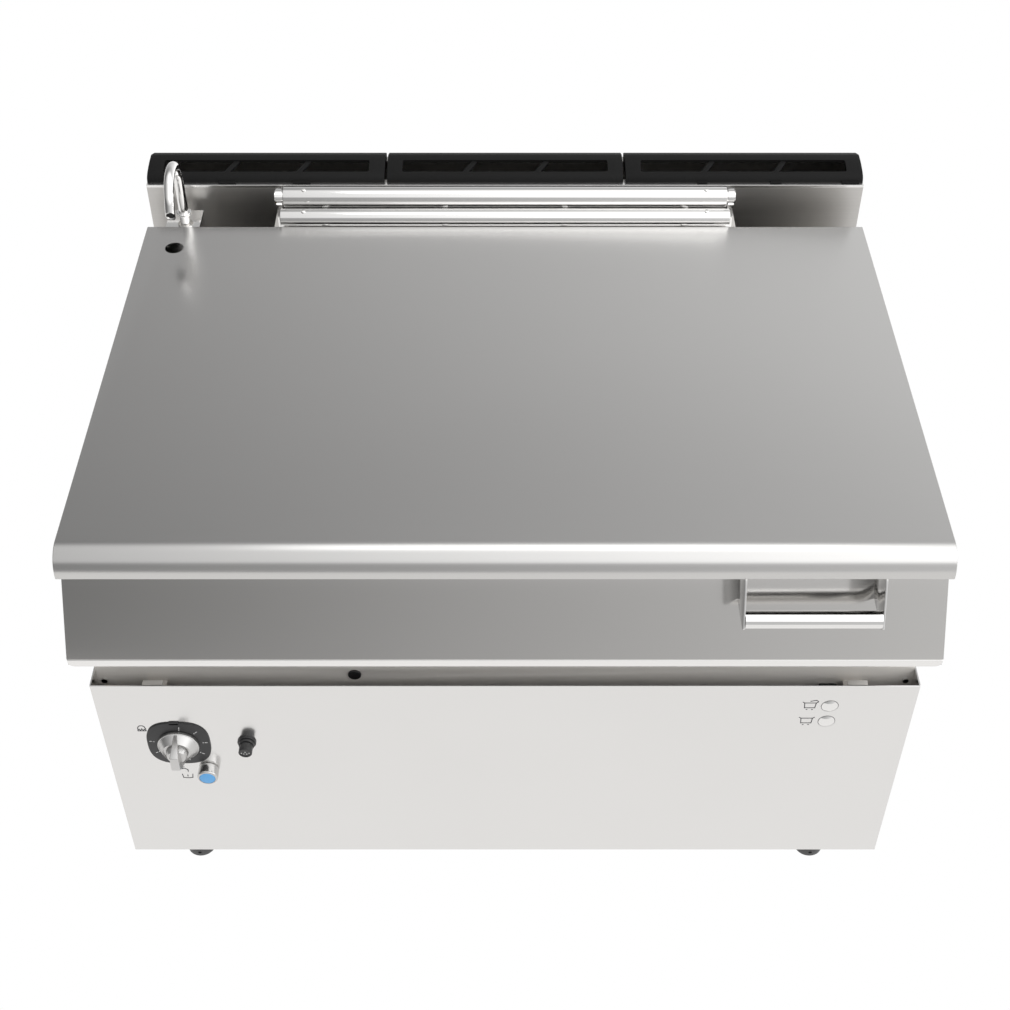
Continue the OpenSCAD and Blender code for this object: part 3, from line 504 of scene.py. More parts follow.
class BRATTPAN_OT_lid(bpy.types.Operator):
    """Model the lid's folded skin with its rounded lip and fill hole"""

    bl_idname = "brattpan.lid"
    bl_label = "Lid"

    def execute(self, context):
        sizes = context.scene.pan_sizes
        a, b = corners("lid_skin")
        t, r, rear_r = sizes.sheet, sizes.lip_radius, 0.004

        def section(inset):
            foot = a.z - (OVER if inset else 0)
            front = arc((a.y + r, b.z - r), r - inset, 180, 90, 20)
            rear = arc((b.y - rear_r, b.z - rear_r), rear_r - inset, 90, 0, 4)
            return [(a.y + inset, foot), *front, *rear, (b.y - inset, foot)]

        skin = prism("lid_shell", section(0), a.x, b.x)
        bevel(skin, 0.0012, 3, 60)
        cut(skin, prism("lid_hollow", section(t), a.x + t, b.x - t),
            upright("fill_drill", FILL_HOLE_X, b.y - sizes.hole_back, b.z - OVER, b.z + OVER,
                    sizes.hole_radius, 64))
        place(smooth(skin), "lid", "lid_steel", "lid_skin")
        return {"FINISHED"}


class BRATTPAN_OT_handle(bpy.types.Operator):
    """Model the lid handle: two gussets with a rolled bar between them"""

    bl_idname = "brattpan.handle"
    bl_label = "Lid handle"

    def execute(self, context):
        a, b = corners("lid_handle")
        lip = low("lid_skin")
        gusset, r = 0.003, 0.012
        hem_y, under = lip.y + 0.002, lip.z + 0.014
        outline = [(lip.y, lip.z), (a.y, a.z + 0.006), (a.y + 0.004, a.z), (b.y - 0.0357, a.z),
                   (b.y, lip.z - 0.0035), (b.y, under), (hem_y, under), (hem_y, lip.z)]
        sides = [bevel(prism(f"gusset_{k}", outline, x, x + gusset), 0.0006, 2)
                 for k, x in enumerate((a.x, b.x - gusset))]
        grip = lengthwise("handle_bar", a.x + gusset, b.x - gusset, a.y + r, a.z + r, r)
        place(smooth(joined("lid_grip", grip, *sides)), "lid", "bright_steel", "lid_handle")
        return {"FINISHED"}


class BRATTPAN_OT_apron(bpy.types.Operator):
    """Model the leaning front apron and its hem with rounded ends, the hem brightened by a painted
    highlight
    """

    bl_idname = "brattpan.apron"
    bl_label = "Pan apron"

    def execute(self, context):
        sizes = context.scene.pan_sizes
        a, b = corners("pan_apron")
        t = sizes.sheet
        hem_depth, fold_end, fold_depth = 0.007, 0.012, 0.02
        leaning = 1.16  # the leaning sheet's depth along Y, as a part of its thickness
        knee = a.z + sizes.hem_height
        outline = [(b.y - t * leaning, b.z), (a.y, knee + 0.001), (a.y + t, knee), (b.y, b.z)]
        face = bevel(prism("apron_face", outline, a.x, b.x), 0.0005, 2)
        place(smooth(face), "pan", "apron_steel", "pan_apron")

        hem = block("apron_hem", (a.x, a.y, a.z), (b.x, a.y + hem_depth, knee))
        with editing(hem, "DESELECT"):
            mesh = bmesh.from_edit_mesh(hem.data)
            for edge in mesh.edges:
                first, second = (vert.co for vert in edge.verts)
                along_y = abs(first.y - second.y) > 0.001
                edge.select = along_y and first.z < a.z + 0.001
            bmesh.update_edit_mesh(hem.data)
            bpy.ops.mesh.bevel(offset=sizes.hem_corner, segments=8)
        bevel(hem, 0.0015, 3, 60)
        # The hem takes a lighter copy of the apron's steel: painted highlight
        place(smooth(hem), "pan", "apron_steel", finish="hem_steel")
        fold = block("apron_fold", (a.x + fold_end, a.y + hem_depth - 0.001, a.z),
                     (b.x - fold_end, a.y + fold_depth, a.z + t))
        place(bevel(fold, 0.0004, 2), "pan", "apron_steel")
        return {"FINISHED"}


def grille_section(a, b, t):
    """Section of a grille between two corners, drawn in by the thickness t of its wall."""
    foot = a.z - (OVER if t else 0)
    # Front of the casting: how far back, how far up, and its inset
    nose = ((0.003, 0.007, t), (0.007, 0.0102, t / 2), (0.014, 0.013, t / 2),
            (0.024, 0.0155, 0), (0.034, 0.0173, 0), (0.045, 0.0185, 0))
    front = [(a.y + back + inset, a.z + up - t) for back, up, inset in nose]
    return [(a.y + t, foot), *front, (a.y + 0.056, b.z - t), (a.y + 0.060, b.z - 0.0008 - t),
            (b.y - t, b.z - 0.010 - t), (b.y - t, foot)]


class BRATTPAN_OT_grilles(bpy.types.Operator):
    """Model the cast flue grilles, with their slots and diagonal bars"""

    bl_idname = "brattpan.grilles"
    bl_label = "Flue grilles"

    def execute(self, context):
        sizes = context.scene.pan_sizes
        wall, slot_half, bar_down = 0.005, 0.1725, 0.0085
        bar_half = Vector((0.0045, 0.019, 0.0025))
        lean = spun(11, "X") @ spun(-31, "Z")
        for node in ("flue_grille_left", "flue_grille_centre", "flue_grille_right"):
            a, b = corners(node)
            x = (a.x + b.x) / 2
            y0, y1 = a.y + 0.014, a.y + 0.042
            shell = prism(node + "_cast", grille_section(a, b, 0), a.x, b.x)
            bevel(shell, 0.0012, 3, 60)
            cut(shell, prism("grille_hollow", grille_section(a, b, wall), a.x + wall, b.x - wall))
            slot = block("grille_slot", (x - slot_half, y0, a.z - 0.001),
                         (x + slot_half, y1, b.z + 0.001))
            cut(shell, bevel(slot, 0.003))
            bars = []
            for k in range(sizes.bar_count):
                at = x + (k - (sizes.bar_count - 1) / 2) * slot_half * 0.7
                bar = block("grille_bar", -bar_half, bar_half)
                with editing(bar):
                    bpy.ops.mesh.bevel(offset=0.001, segments=2)
                bars.append(moved(bar, (at, (y0 + y1) / 2, b.z - bar_down), lean))
            casting = joined(node + "_cast", shell, *bars) if bars else shell
            place(smooth(casting), "base", "cast_black", node)
        return {"FINISHED"}


class BRATTPAN_OT_hinge(bpy.types.Operator):
    """Model the lid's hinge: sleeve, rear tube, links, plates and screws"""

    bl_idname = "brattpan.hinge"
    bl_label = "Lid hinge"

    def execute(self, context):
        a, b = corners("hinge_sleeve")
        axis = (a + b) / 2
        radius = (b.z - a.z) / 2
        sleeve = lengthwise("hinge_tube", a.x, b.x, axis.y, axis.z, radius)
        bevel(sleeve, 0.0015)
        shaft_r = (high("hinge_shaft").z - low("hinge_shaft").z) / 2 + 0.00005
        cut(sleeve, lengthwise("hinge_bore", a.x - OVER, b.x + OVER, axis.y, axis.z, shaft_r, 64))
        place(smooth(sleeve), "lid", "bright_steel", "hinge_sleeve")

        ta, tb = corners("lid_rear_tube")
        lid_rear, lid_top = high("lid_skin").y, high("lid_skin").z
        tube_r, tube_wall, tube_back, tube_up = 0.015, 0.002, 0.021, 0.003
        tube_y, tube_z = lid_rear + tube_back, lid_top + tube_up
        tube = lengthwise("rear_tube", ta.x, tb.x, tube_y, tube_z, tube_r)
        bevel(tube, 0.0015)
        cut(tube, lengthwise("tube_bore", ta.x - OVER, tb.x + OVER, tube_y, tube_z,
                             tube_r - tube_wall, 64))
        parts = [tube]
        span = Vector((0, axis.y - tube_y, axis.z - tube_z))
        lean = Matrix.Rotation(math.atan2(span.z, span.y), 4, "X")
        half = 0.005
        for x in (-0.3, -0.1, 0.1, 0.3):
            plate = block("link_plate", (x - half, lid_rear, ta.z),
                          (x + half, tube_y - 0.012, lid_top - 0.014))
            link = block("hinge_link", (-half, tube_r - 0.004, -0.012),
                         (half, span.length - radius + 0.004, -0.006))
            moved(link, (x, tube_y, tube_z), lean)
            parts += [bevel(plate, 0.0008, 2), bevel(link, 0.0008, 2)]
        place(smooth(joined("rear_tube", *parts)), "lid", "bright_steel", "lid_rear_tube")

        up = Vector((0, -0.35, 1)).normalized()  # the screws face the photograph's camera
        for side, x in (("l", -0.333), ("r", 0.333)):
            for y, z, r in ((axis.y, axis.z, radius), (tube_y, tube_z, tube_r)):
                foot = Vector((x, y, z)) + up * (r - 0.001)
                screw = rod("hinge_screw", foot, foot + up * 0.003, 0.004, 32, 0.003)
                slot = block("screw_slot", (-0.005, -0.0006, 0), (0.005, 0.0006, 0.002))
                cut(bevel(screw, 0.0004, 2), moved(slot, foot + up * 0.0022))
                screw.name = f"hinge_screw_{side}_{round(r * 1000)}"
                place(smooth(screw), "lid", "bright_steel")
        return {"FINISHED"}


class BRATTPAN_OT_spout(bpy.types.Operator):
    """Model the chrome fill spout, its open mouth with a black liner of painted shade inside, and
    its collar nut
    """

    bl_idname = "brattpan.spout"
    bl_label = "Fill spout"

    def execute(self, context):
        sizes = context.scene.pan_sizes
        r, wall = sizes.pipe_radius, 0.0012
        a, b = corners("fill_spout")
        x = (a.x + b.x) / 2
        lid_rear, lid_top = high("lid_skin").y, high("lid_skin").z

        # The mouth's end follows an arc about the hinge, so that the lid's hole passes it
        hinge = (lid_rear + sizes.hinge_back, lid_top + sizes.hinge_up)
        riser_front, mouth_turn = 0.017, 14
        riser_y = hinge[0] - riser_front
        reach = math.hypot(sizes.hinge_back + sizes.hole_back, sizes.hinge_up)
        start = 180 - math.degrees(math.asin(sizes.hinge_up / reach))
        turn = 143
        across, up = math.cos(math.radians(turn)), math.sin(math.radians(turn))
        bend = (riser_y - hinge[0] - reach * across) / (1 - across)
        centre = (riser_y - bend, hinge[1] + (reach - bend) * up)
        line = arc(hinge, reach, start, turn, 14) + arc(centre, bend, turn, 0, 28)[1:]
        line += [(riser_y, centre[1] - 0.02), (riser_y, a.z)]
        points = [Vector((x, y, z)) for y, z in line]
        pipe = round_bar("fill_spout_pipe", points, r)

        mouth = points[0]
        away = (mouth - points[1]).normalized()
        inside = [Vector((x, y, z)) for y, z in arc(hinge, reach, start, start - mouth_turn, 10)]
        facing = Vector((0, -0.9, -0.436)).to_track_quat("Z", "Y").to_matrix().to_4x4()

        def slant(name, back):
            """Block that cuts a piece on a slant, so far back from the mouth."""
            tool = block(name, (-0.02, -0.03, 0), (0.02, 0.03, 0.04))
            return moved(tool, mouth - away * back, facing)

        cut(pipe, round_bar("mouth_bore", [mouth + away * 0.012] + inside, r - wall),
            slant("mouth_slant", 0.009))
        place(smooth(pipe), "pan", "chrome", "fill_spout")
        # Black liner inside the mouth's bore, cut on the slant: painted shade for the dark inside
        # of the pipe
        shade_liner = round_bar("spout_bore", inside[:-1], r - wall - 0.0001)
        cut(shade_liner, slant("bore_slant", 0.0115))
        place(shade_liner, "pan", "black_plastic", finish="socket_dark")

        foot, top = low("spout_collar").z, high("spout_collar").z
        knee = foot + 0.009
        nut = upright("collar_nut", x, riser_y, foot, knee, r + 0.006, 6)
        ring = upright("collar_ring", x, riser_y, knee, top, r + 0.005)
        both = joined("collar_nut", bevel(nut, 0.0012), bevel(ring, 0.0015))
        cut(both, upright("collar_bore", x, riser_y, foot - OVER, top + OVER, r + 0.0001))
        place(smooth(both), "pan", "chrome", "spout_collar")
        return {"FINISHED"}


class BRATTPAN_OT_knob(bpy.types.Operator):
    """Model the gas knob with its pointer fin, and its bezel with scale marks"""

    bl_idname = "brattpan.knob"
    bl_label = "Gas knob"

    def execute(self, context):
        sizes = context.scene.control_sizes
        a, b = corners("knob_bezel")
        c = (a + b) / 2
        face, radius = a.y, (b.z - a.z) / 2
        squareness = 2.8  # 2 is a circle, more is squarer
        plate = turned("bezel_plate", c, b.y, face, radius, 128)
        for vert in plate.data.vertices:
            across, up = (vert.co.x - c.x) / (b.x - c.x), (vert.co.z - c.z) / radius
            squared = (abs(across) ** squareness + abs(up) ** squareness) ** (1 / squareness) or 1
            vert.co.x = c.x + (vert.co.x - c.x) / squared
            vert.co.z = c.z + (vert.co.z - c.z) / squared
        tab = block("bezel_tab", (c.x - 0.009, face, b.z - 0.004),
                    (c.x + 0.006, b.y, b.z + 0.0015))
        plate = joined("bezel_plate", bevel(plate, 0.0007, 3, 60), bevel(tab, 0.0006, 2))
        place(smooth(plate), "base", "black_plastic", "knob_bezel", finish="bezel_black")

        first, sweep = 82, 271  # degrees up from the right, and clockwise to the last mark
        sunk, proud = 0.0002, 0.0003
        marks = []
        for k in range(sizes.mark_count):
            angle = first - k * sweep / (sizes.mark_count - 1)
            out = 0.036 + 0.004 * abs(math.cos(math.radians(angle)))
            dot = rod("mark_dot", (out - 0.003, sunk, 0), (out - 0.003, -proud, 0), 0.0009, 16)
            mark = block("mark", (out - 0.0005, -proud, -0.0005), (out + 0.0035, sunk, 0.0005))
            marks.append(moved(joined("mark", mark, dot), (c.x, face, c.z), spun(-angle, "Y")))
        place(joined("scale_marks", *marks), "base", "black_plastic", finish="scale_white")

        back, front = face - 0.0003, low("gas_knob").y
        # Round parts as shares of the knob's radius, the fin's outline as shares of it up
        r, fin_half = sizes.knob_radius, 0.0065
        rim = bevel(turned("knob_rim", c, back, back - 0.006, r, 128), 0.0012)
        skirt = turned("knob_skirt", c, back - 0.005, back - 0.019, r * 0.985, 128, r * 0.66)
        cut(skirt, turned("knob_dish", c, back - 0.015, back - 0.03, r * 0.70, 96, r * 0.66))
        hub = turned("knob_hub", c, back - 0.005, back - 0.026, r * 0.64, 96, r * 0.44)
        bevel(hub, 0.0015)
        outline = [(back - 0.004, 0.95), (back - 0.010, 0.94), (front + 0.010, 0.60),
                   (front, 0.46), (front, -0.44), (back - 0.016, -0.84), (back - 0.006, -0.95)]
        fin = prism("knob_fin", [(y, c.z + r * up) for y, up in outline],
                    c.x - fin_half, c.x + fin_half)
        with editing(fin, "DESELECT"):
            mesh = bmesh.from_edit_mesh(fin.data)
            for vert in mesh.verts:
                out = (back - vert.co.y) / (back - front)
                width = 0.3 + 0.7 * out if vert.co.z > c.z else 1.5 - 0.5 * out
                vert.co.x = c.x + (vert.co.x - c.x) * width
            bmesh.update_edit_mesh(fin.data)
        knob = joined("gas_knob_cap", rim, skirt, hub, bevel(fin, 0.0012))
        place(smooth(knob), "knob", "knob_silver", "gas_knob")
        spindle = turned("knob_spindle", c, back - 0.004, high("gas_knob").y, 0.005)
        place(smooth(bevel(spindle, 0.0005, 2)), "knob", "bright_steel")
        return {"FINISHED"}


class BRATTPAN_OT_buttons(bpy.types.Operator):
    """Model the igniter, the water button and the two domed tilt buttons"""

    bl_idname = "brattpan.buttons"
    bl_label = "Push buttons"

    def execute(self, context):
        self.igniter()
        self.water_button()
        panel = low("front_panel").y
        self.tilt_button("tilt_button_up", "tilt_up", panel)
        self.tilt_button("tilt_button_down", "tilt_down", panel)
        return {"FINISHED"}

    def igniter(self):
        """Black button with a grooved rim and a spark of dots, in a ring on a disc."""
        a, b = corners("igniter_collar")
        c = (a + b) / 2
        ring_r, well_r, base = 0.0117, 0.0105, a.y + 0.008
        collar = bevel(turned("igniter_ring", c, base, a.y, ring_r, 96), 0.0006, 2)
        cut(collar, turned("igniter_well", c, a.y - OVER, a.y + 0.005, well_r, 64),
            turned("igniter_eye", c, a.y - OVER, a.y + OVER, STEM_BORE))
        disc = turned("igniter_disc", c, base, a.y + 0.005, (b.x - a.x) / 2, 96)
        bevel(disc, 0.0008)
        cut(disc, turned("igniter_hole", c, a.y - OVER, a.y + 2 * OVER, ring_r - 0.0002, 64))
        sleeve = turned("igniter_sleeve", c, base - 0.0005, b.y, NECK)
        cut(sleeve, turned("igniter_bore", c, a.y, b.y - 0.004, STEM_BORE))
        ring = joined("igniter_ring", collar, disc, sleeve)
        place(smooth(ring), "base", "black_plastic", "igniter_collar")

        a, b = corners("igniter_button")
        front, back, r = a.y, a.y + 0.0157, (b.x - a.x) / 2
        button = bevel(turned("igniter_cap", c, back, front, r, 96), 0.0012)
        groove_count, groove_r = 24, 0.0005
        grooves = []
        for k in range(groove_count):
            angle = 2 * math.pi * k / groove_count
            at = c + Vector((math.cos(angle), 0, math.sin(angle))) * (r + 0.0002)
            grooves.append(turned("groove", at, back - 0.0007, front + 0.003, groove_r, 8))
        cut(button, joined("grooves", *grooves),
            turned("cap_dish", c, front - 0.001, front + 0.0008, r * 0.78, 64))
        stem = turned("igniter_stem", c, back - 0.0002, b.y, STEM)
        cap = joined("igniter_cap", button, stem)
        place(smooth(cap), "igniter", "black_plastic", "igniter_button")
        spots = ((-5.8, 0.0), (5.8, 0.0), (0.0, 2.2), (-2.2, -1.8), (2.2, -1.8))
        spark = [turned("spark_dot", c + Vector((across, 0, up)) / 1000, front + 0.0009,
                        front + 0.0003, 0.0008, 12) for across, up in spots]
        place(joined("spark_sign", *spark), "igniter", "black_plastic", finish="scale_white")

    def water_button(self):
        """Blue cap in a rounded steel ring."""
        a, b = corners("water_ring")
        c = (a + b) / 2
        cap_r = 0.012
        ring = turned("water_collar", c, a.y + 0.0195, a.y, (b.x - a.x) / 2, 96)
        bevel(ring, 0.003, 6)
        cut(ring, turned("water_well", c, a.y - OVER, a.y + 0.006, cap_r + 0.0003, 64))
        neck = turned("water_neck", c, a.y + 0.0193, b.y, NECK)
        for piece in (ring, neck):
            cut(piece, turned("water_bore", c, a.y - OVER, b.y + OVER, STEM_BORE))
        collar = joined("water_collar", ring, neck)
        place(smooth(collar), "base", "chrome", "water_ring", finish="ring_steel")

        front, back = low("water_cap").y, high("water_cap").y
        cap = bevel(turned("water_button_cap", c, front + 0.0027, front, cap_r, 96), 0.0006)
        stem = turned("water_stem", c, front + 0.0025, back, STEM)
        button = joined("water_button_cap", cap, stem)
        place(smooth(button), "water_button", "blue_plastic", "water_cap")

    def tilt_button(self, node, body, panel):
        """Low dome that stands out of the front panel."""
        a, b = corners(node)
        c = (a + b) / 2
        r, height = (b.x - a.x) / 2, panel - a.y
        curve_r = (r * r + height * height) / (2 * height)
        deselect()
        bpy.ops.mesh.primitive_uv_sphere_add(
            segments=96, ring_count=192, radius=curve_r, location=(c.x, a.y + curve_r, c.z),
            rotation=(math.pi / 2, 0, 0))
        dome = named(node + "_dome")
        with editing(dome):
            bpy.ops.mesh.bisect(plane_co=(0, panel - 0.0003, 0), plane_no=(0, 1, 0),
                                clear_outer=True, use_fill=True)
        skirt = turned("dome_skirt", c, panel - 0.0004, panel + 0.005, r - 0.0005, 96)
        stem = turned("dome_stem", c, panel + 0.0045, b.y, STEM)
        button = joined(dome.name, dome, skirt, stem)
        place(smooth(button), body, "knob_silver", node, finish="bright_steel")


class BRATTPAN_OT_panels(bpy.types.Operator):
    """Model the front panel, the cross panel with its screws, and the cable plug"""

    bl_idname = "brattpan.panels"
    bl_label = "Panels"

    def execute(self, context):
        t = context.scene.pan_sizes.sheet
        a, b = corners("front_panel")
        panel = bevel(block("panel_sheet", a, (b.x, a.y + t, b.z)), 0.0012, 4)
        for node, r in (("knob_bezel", 0.0045), ("igniter_collar", 0.0062),
                        ("water_ring", 0.0062), ("tilt_button_up", 0.0128),
                        ("tilt_button_down", 0.0128)):
            cut(panel, turned("panel_hole", middle(node), a.y - OVER, a.y + OVER, r, 64))
        place(smooth(panel), "base", "panel_steel", "front_panel")

        c0, c1 = corners("cross_panel")
        plug = middle("cable_plug")
        front = c1.y - t
        sheet = block("cross_sheet", (c0.x, front, c0.z), c1)
        cut(sheet, turned("plug_hole", plug, c1.y - OVER, c1.y + OVER, 0.0085))
        parts = [sheet]
        shelf_z, tab_depth = b.z - 0.028, 0.011
        for x0, x1 in ((-0.525, -0.496), (0.496, 0.525)):
            parts += [
                block("bracket_shelf", (x0, c0.y, shelf_z), (x1, front, shelf_z + 0.002)),
                block("bracket_rise", (x0, c0.y, shelf_z + 0.0005), (x1, c0.y + t, b.z - t)),
                block("bracket_tab", (x0, c0.y, b.z - 2 * t), (x1, c0.y + tab_depth, b.z - t)),
            ]
        cross = joined("cross_sheet", *[bevel(part, 0.0003, 2) for part in parts])
        place(smooth(cross), "base", "panel_steel", "cross_panel", finish="cross_grey")

        screw_in, screw_z = 0.010, 0.525
        for k, x in enumerate((c0.x + screw_in, c1.x - screw_in)):
            at = Vector((x, 0, screw_z))
            head = turned(f"cross_screw_{k}", at, front + 0.0002, front - 0.0022, 0.005, 32,
                          0.0038)
            bevel(head, 0.0004, 2)
            cut(head, block("cross_slot", at + Vector((-0.006, front - 0.003, -0.0006)),
                            at + Vector((0.006, front - 0.0012, 0.0006))))
            place(smooth(head), "base", "bright_steel", finish="box_steel")

        face, back = low("cable_plug").y, high("cable_plug").y
        cap = bevel(turned("plug_cap", plug, face + 0.003, face, 0.010, 64, 0.0092), 0.0008)
        neck = turned("plug_neck", plug, face + 0.0028, back, 0.008)
        place(smooth(joined("plug_cap", cap, neck)), "base", "black_plastic", "cable_plug")
        return {"FINISHED"}


class BRATTPAN_OT_flue_trim(bpy.types.Operator):
    """Model the bright trim under the grilles and the tabs that hold them"""

    bl_idname = "brattpan.flue_trim"
    bl_label = "Flue trim"

    def execute(self, context):
        a, b = corners("flue_duct")
        trim = block("flue_trim", (a.x, a.y - 0.0006, b.z - 0.0040),
                     (b.x, a.y + 0.009, b.z + 0.0005))
        place(bevel(trim, 0.0005, 2), "base", "bright_steel", finish="hem_steel")
        front = low("flue_grille_centre").y
        for k, (x0, x1) in enumerate(((-0.480, -0.451), (-0.356, -0.3255), (0.322, 0.339),
                                      (0.4446, 0.463), (0.564, 0.593))):
            tab = block(f"grille_tab_{k}", (x0, front - 0.004, b.z + 0.0004),
                        (x1, front + 0.003, b.z + 0.0032))
            place(bevel(tab, 0.0006, 2), "base", "cast_black")
        return {"FINISHED"}


class BRATTPAN_OT_legs(bpy.types.Operator):
    """Model the four legs with their flanges and levelling feet"""

    bl_idname = "brattpan.legs"
    bl_label = "Legs and feet"

    def execute(self, context):
        foot, top = low("leg_sleeves").z, high("leg_sleeves").z
        leg_r, flange_r, stem_r = 0.024, 0.032, 0.008
        key_r, key_up = 0.003, 0.011
        legs = []
        for node, body in (("foot_front_left", "foot_a"), ("foot_front_right", "foot_b"),
                           ("foot_rear_left", "foot_c"), ("foot_rear_right", "foot_d")):
            a, b = corners(node)
            x, y = (a.x + b.x) / 2, (a.y + b.y) / 2
            sleeve = bevel(upright("leg_tube", x, y, foot, top - 0.002, leg_r, 96), 0.0015)
            cut(sleeve, upright("leg_bore", x, y, foot - OVER, top + OVER, stem_r + 0.00005))
            flange = upright("leg_flange", x, y, top - 0.004, top, flange_r, 96)
            cut(flange, upright("flange_bore", x, y, foot, top + OVER, leg_r - 0.0005, 64))
            legs += [sleeve, bevel(flange, 0.0008, 2)]
            rim = b.x - x
            pad = upright("foot_pad", x, y, a.z, foot - 0.0003, rim, 96)
            bevel(pad, 0.0022, 4)
            at = Vector((x, y, a.z + key_up))
            for angle in (math.radians(turn) for turn in (30, 90, 150)):
                out = Vector((math.cos(angle), math.sin(angle), 0)) * (rim + 0.01)
                for reach in (out, -out):
                    cut(pad, rod("key_hole", at + reach, at + reach * 0.6, key_r, 24))
            stem = bevel(upright("foot_stem", x, y, foot - 0.0005, b.z, stem_r), 0.0008, 2)
            place(smooth(joined(node + "_turned", pad, stem)), body, "foot_dark", node)
        place(smooth(joined("leg_tubes", *legs)), "base", "bright_steel", "leg_sleeves")
        return {"FINISHED"}


# Signs as lines of points, across and up in millimetres from each sign's middle
PAN_LINES = [
    [(-11, 8), (-8.5, 6), (-7.5, -5), (7.5, -5), (8.5, 6), (11, 8)],
    [(-8.5, 6), (8.5, 6)], [(-4.5, -9), (-3.5, -9)], [(3.5, -9), (4.5, -9)],
]
SIGNS = {
    "sign_tilt_up": ((0.446, 0.506), PAN_LINES + [[(0, 10), (8, 12), (11, 10)]]),
    "sign_tilt_down": ((0.445, 0.471), PAN_LINES),
    "sign_pilot": ((-0.540, 0.451), [
        [(-6, 0), (-5, 5), (-2, 8), (2, 8), (5, 5), (6, 0)],
        [(-6, -3), (-4, 0), (-2, -3), (0, 1), (2, -3), (4, 0), (6, -3)], [(-6, -4), (6, -4)]]),
    "sign_water": ((-0.487, 0.341), [
        [(-8, 0), (-7, -8), (-2, -9), (2, -9), (7, -8), (8, 0)], [(0, -5), (0, -2)],
        [(-11, 14), (-1, 14), (2, 11), (2, 7)], [(-6, 14), (-6, 18)], [(-9, 18), (-3, 18)]]),
}


class BRATTPAN_OT_signs(bpy.types.Operator):
    """Print the four plain pictograms beside the controls"""

    bl_idname = "brattpan.signs"
    bl_label = "Pictograms"

    def execute(self, context):
        width, film = context.scene.control_sizes.sign_line, 0.0002
        face = low("front_panel").y
        for name, ((x, z), lines) in SIGNS.items():
            strokes = []
            for line in lines:
                points = [Vector((across, 0, up)) / 1000 for across, up in line]
                for p, q in zip(points, points[1:]):
                    half = (q - p).length / 2 + width / 2
                    stroke = block("stroke", (-half, -film, -width / 2), (half, film, width / 2))
                    lean = math.degrees(math.atan2(q.z - p.z, q.x - p.x))
                    at = Vector((x, face, z)) + (p + q) / 2
                    strokes.append(moved(stroke, at, spun(-lean, "Y")))
            place(joined(name, *strokes), "base", "panel_steel", finish="sign_grey")
        return {"FINISHED"}


class BRATTPAN_OT_dress(bpy.types.Operator):
    """Give every CAD node the finish of its material slot"""

    bl_idname = "brattpan.dress"
    bl_label = "CAD finishes"

    def execute(self, context):
        own = {"pan_vessel": "vessel_steel", "pan_apron": "apron_steel",
               "pan_rim": "bright_steel"}
        for row in frame["record"]["subparts"]:
            obj = frame["nodes"][row["node"]]
            obj.data.materials.clear()
            obj.data.materials.append(FINISHES[own.get(row["node"], row["material_slot"])])
            hidden = obj.hide_viewport
            obj.hide_viewport = False
            smooth(obj, 30)
            obj.hide_viewport = hidden
        return {"FINISHED"}


# Light about X: place round it (0 behind, 0.25 below, 0.5 in front, 0.75 above) and level
LIGHT_LEVELS = (
    (0.0, 0.9), (0.430, 0.90), (0.450, 0.52), (0.550, 0.50), (0.580, 1.2), (0.78, 1.2),
    (0.835, 0.45), (0.875, 0.42), (0.917, 0.60), (1.0, 0.7),
)


def seen_white(tree, kind, light):
    """White as the camera sees it, and a light for all other rays."""
    white = linked(tree, kind, {"Color": (1, 1, 1, 1), "Strength": 1.0})
    path = linked(tree, "LightPath")
    return linked(tree, "MixShader", _0=path.outputs["Is Camera Ray"], _1=light.outputs[0],
                  _2=white.outputs[0]).outputs[0]


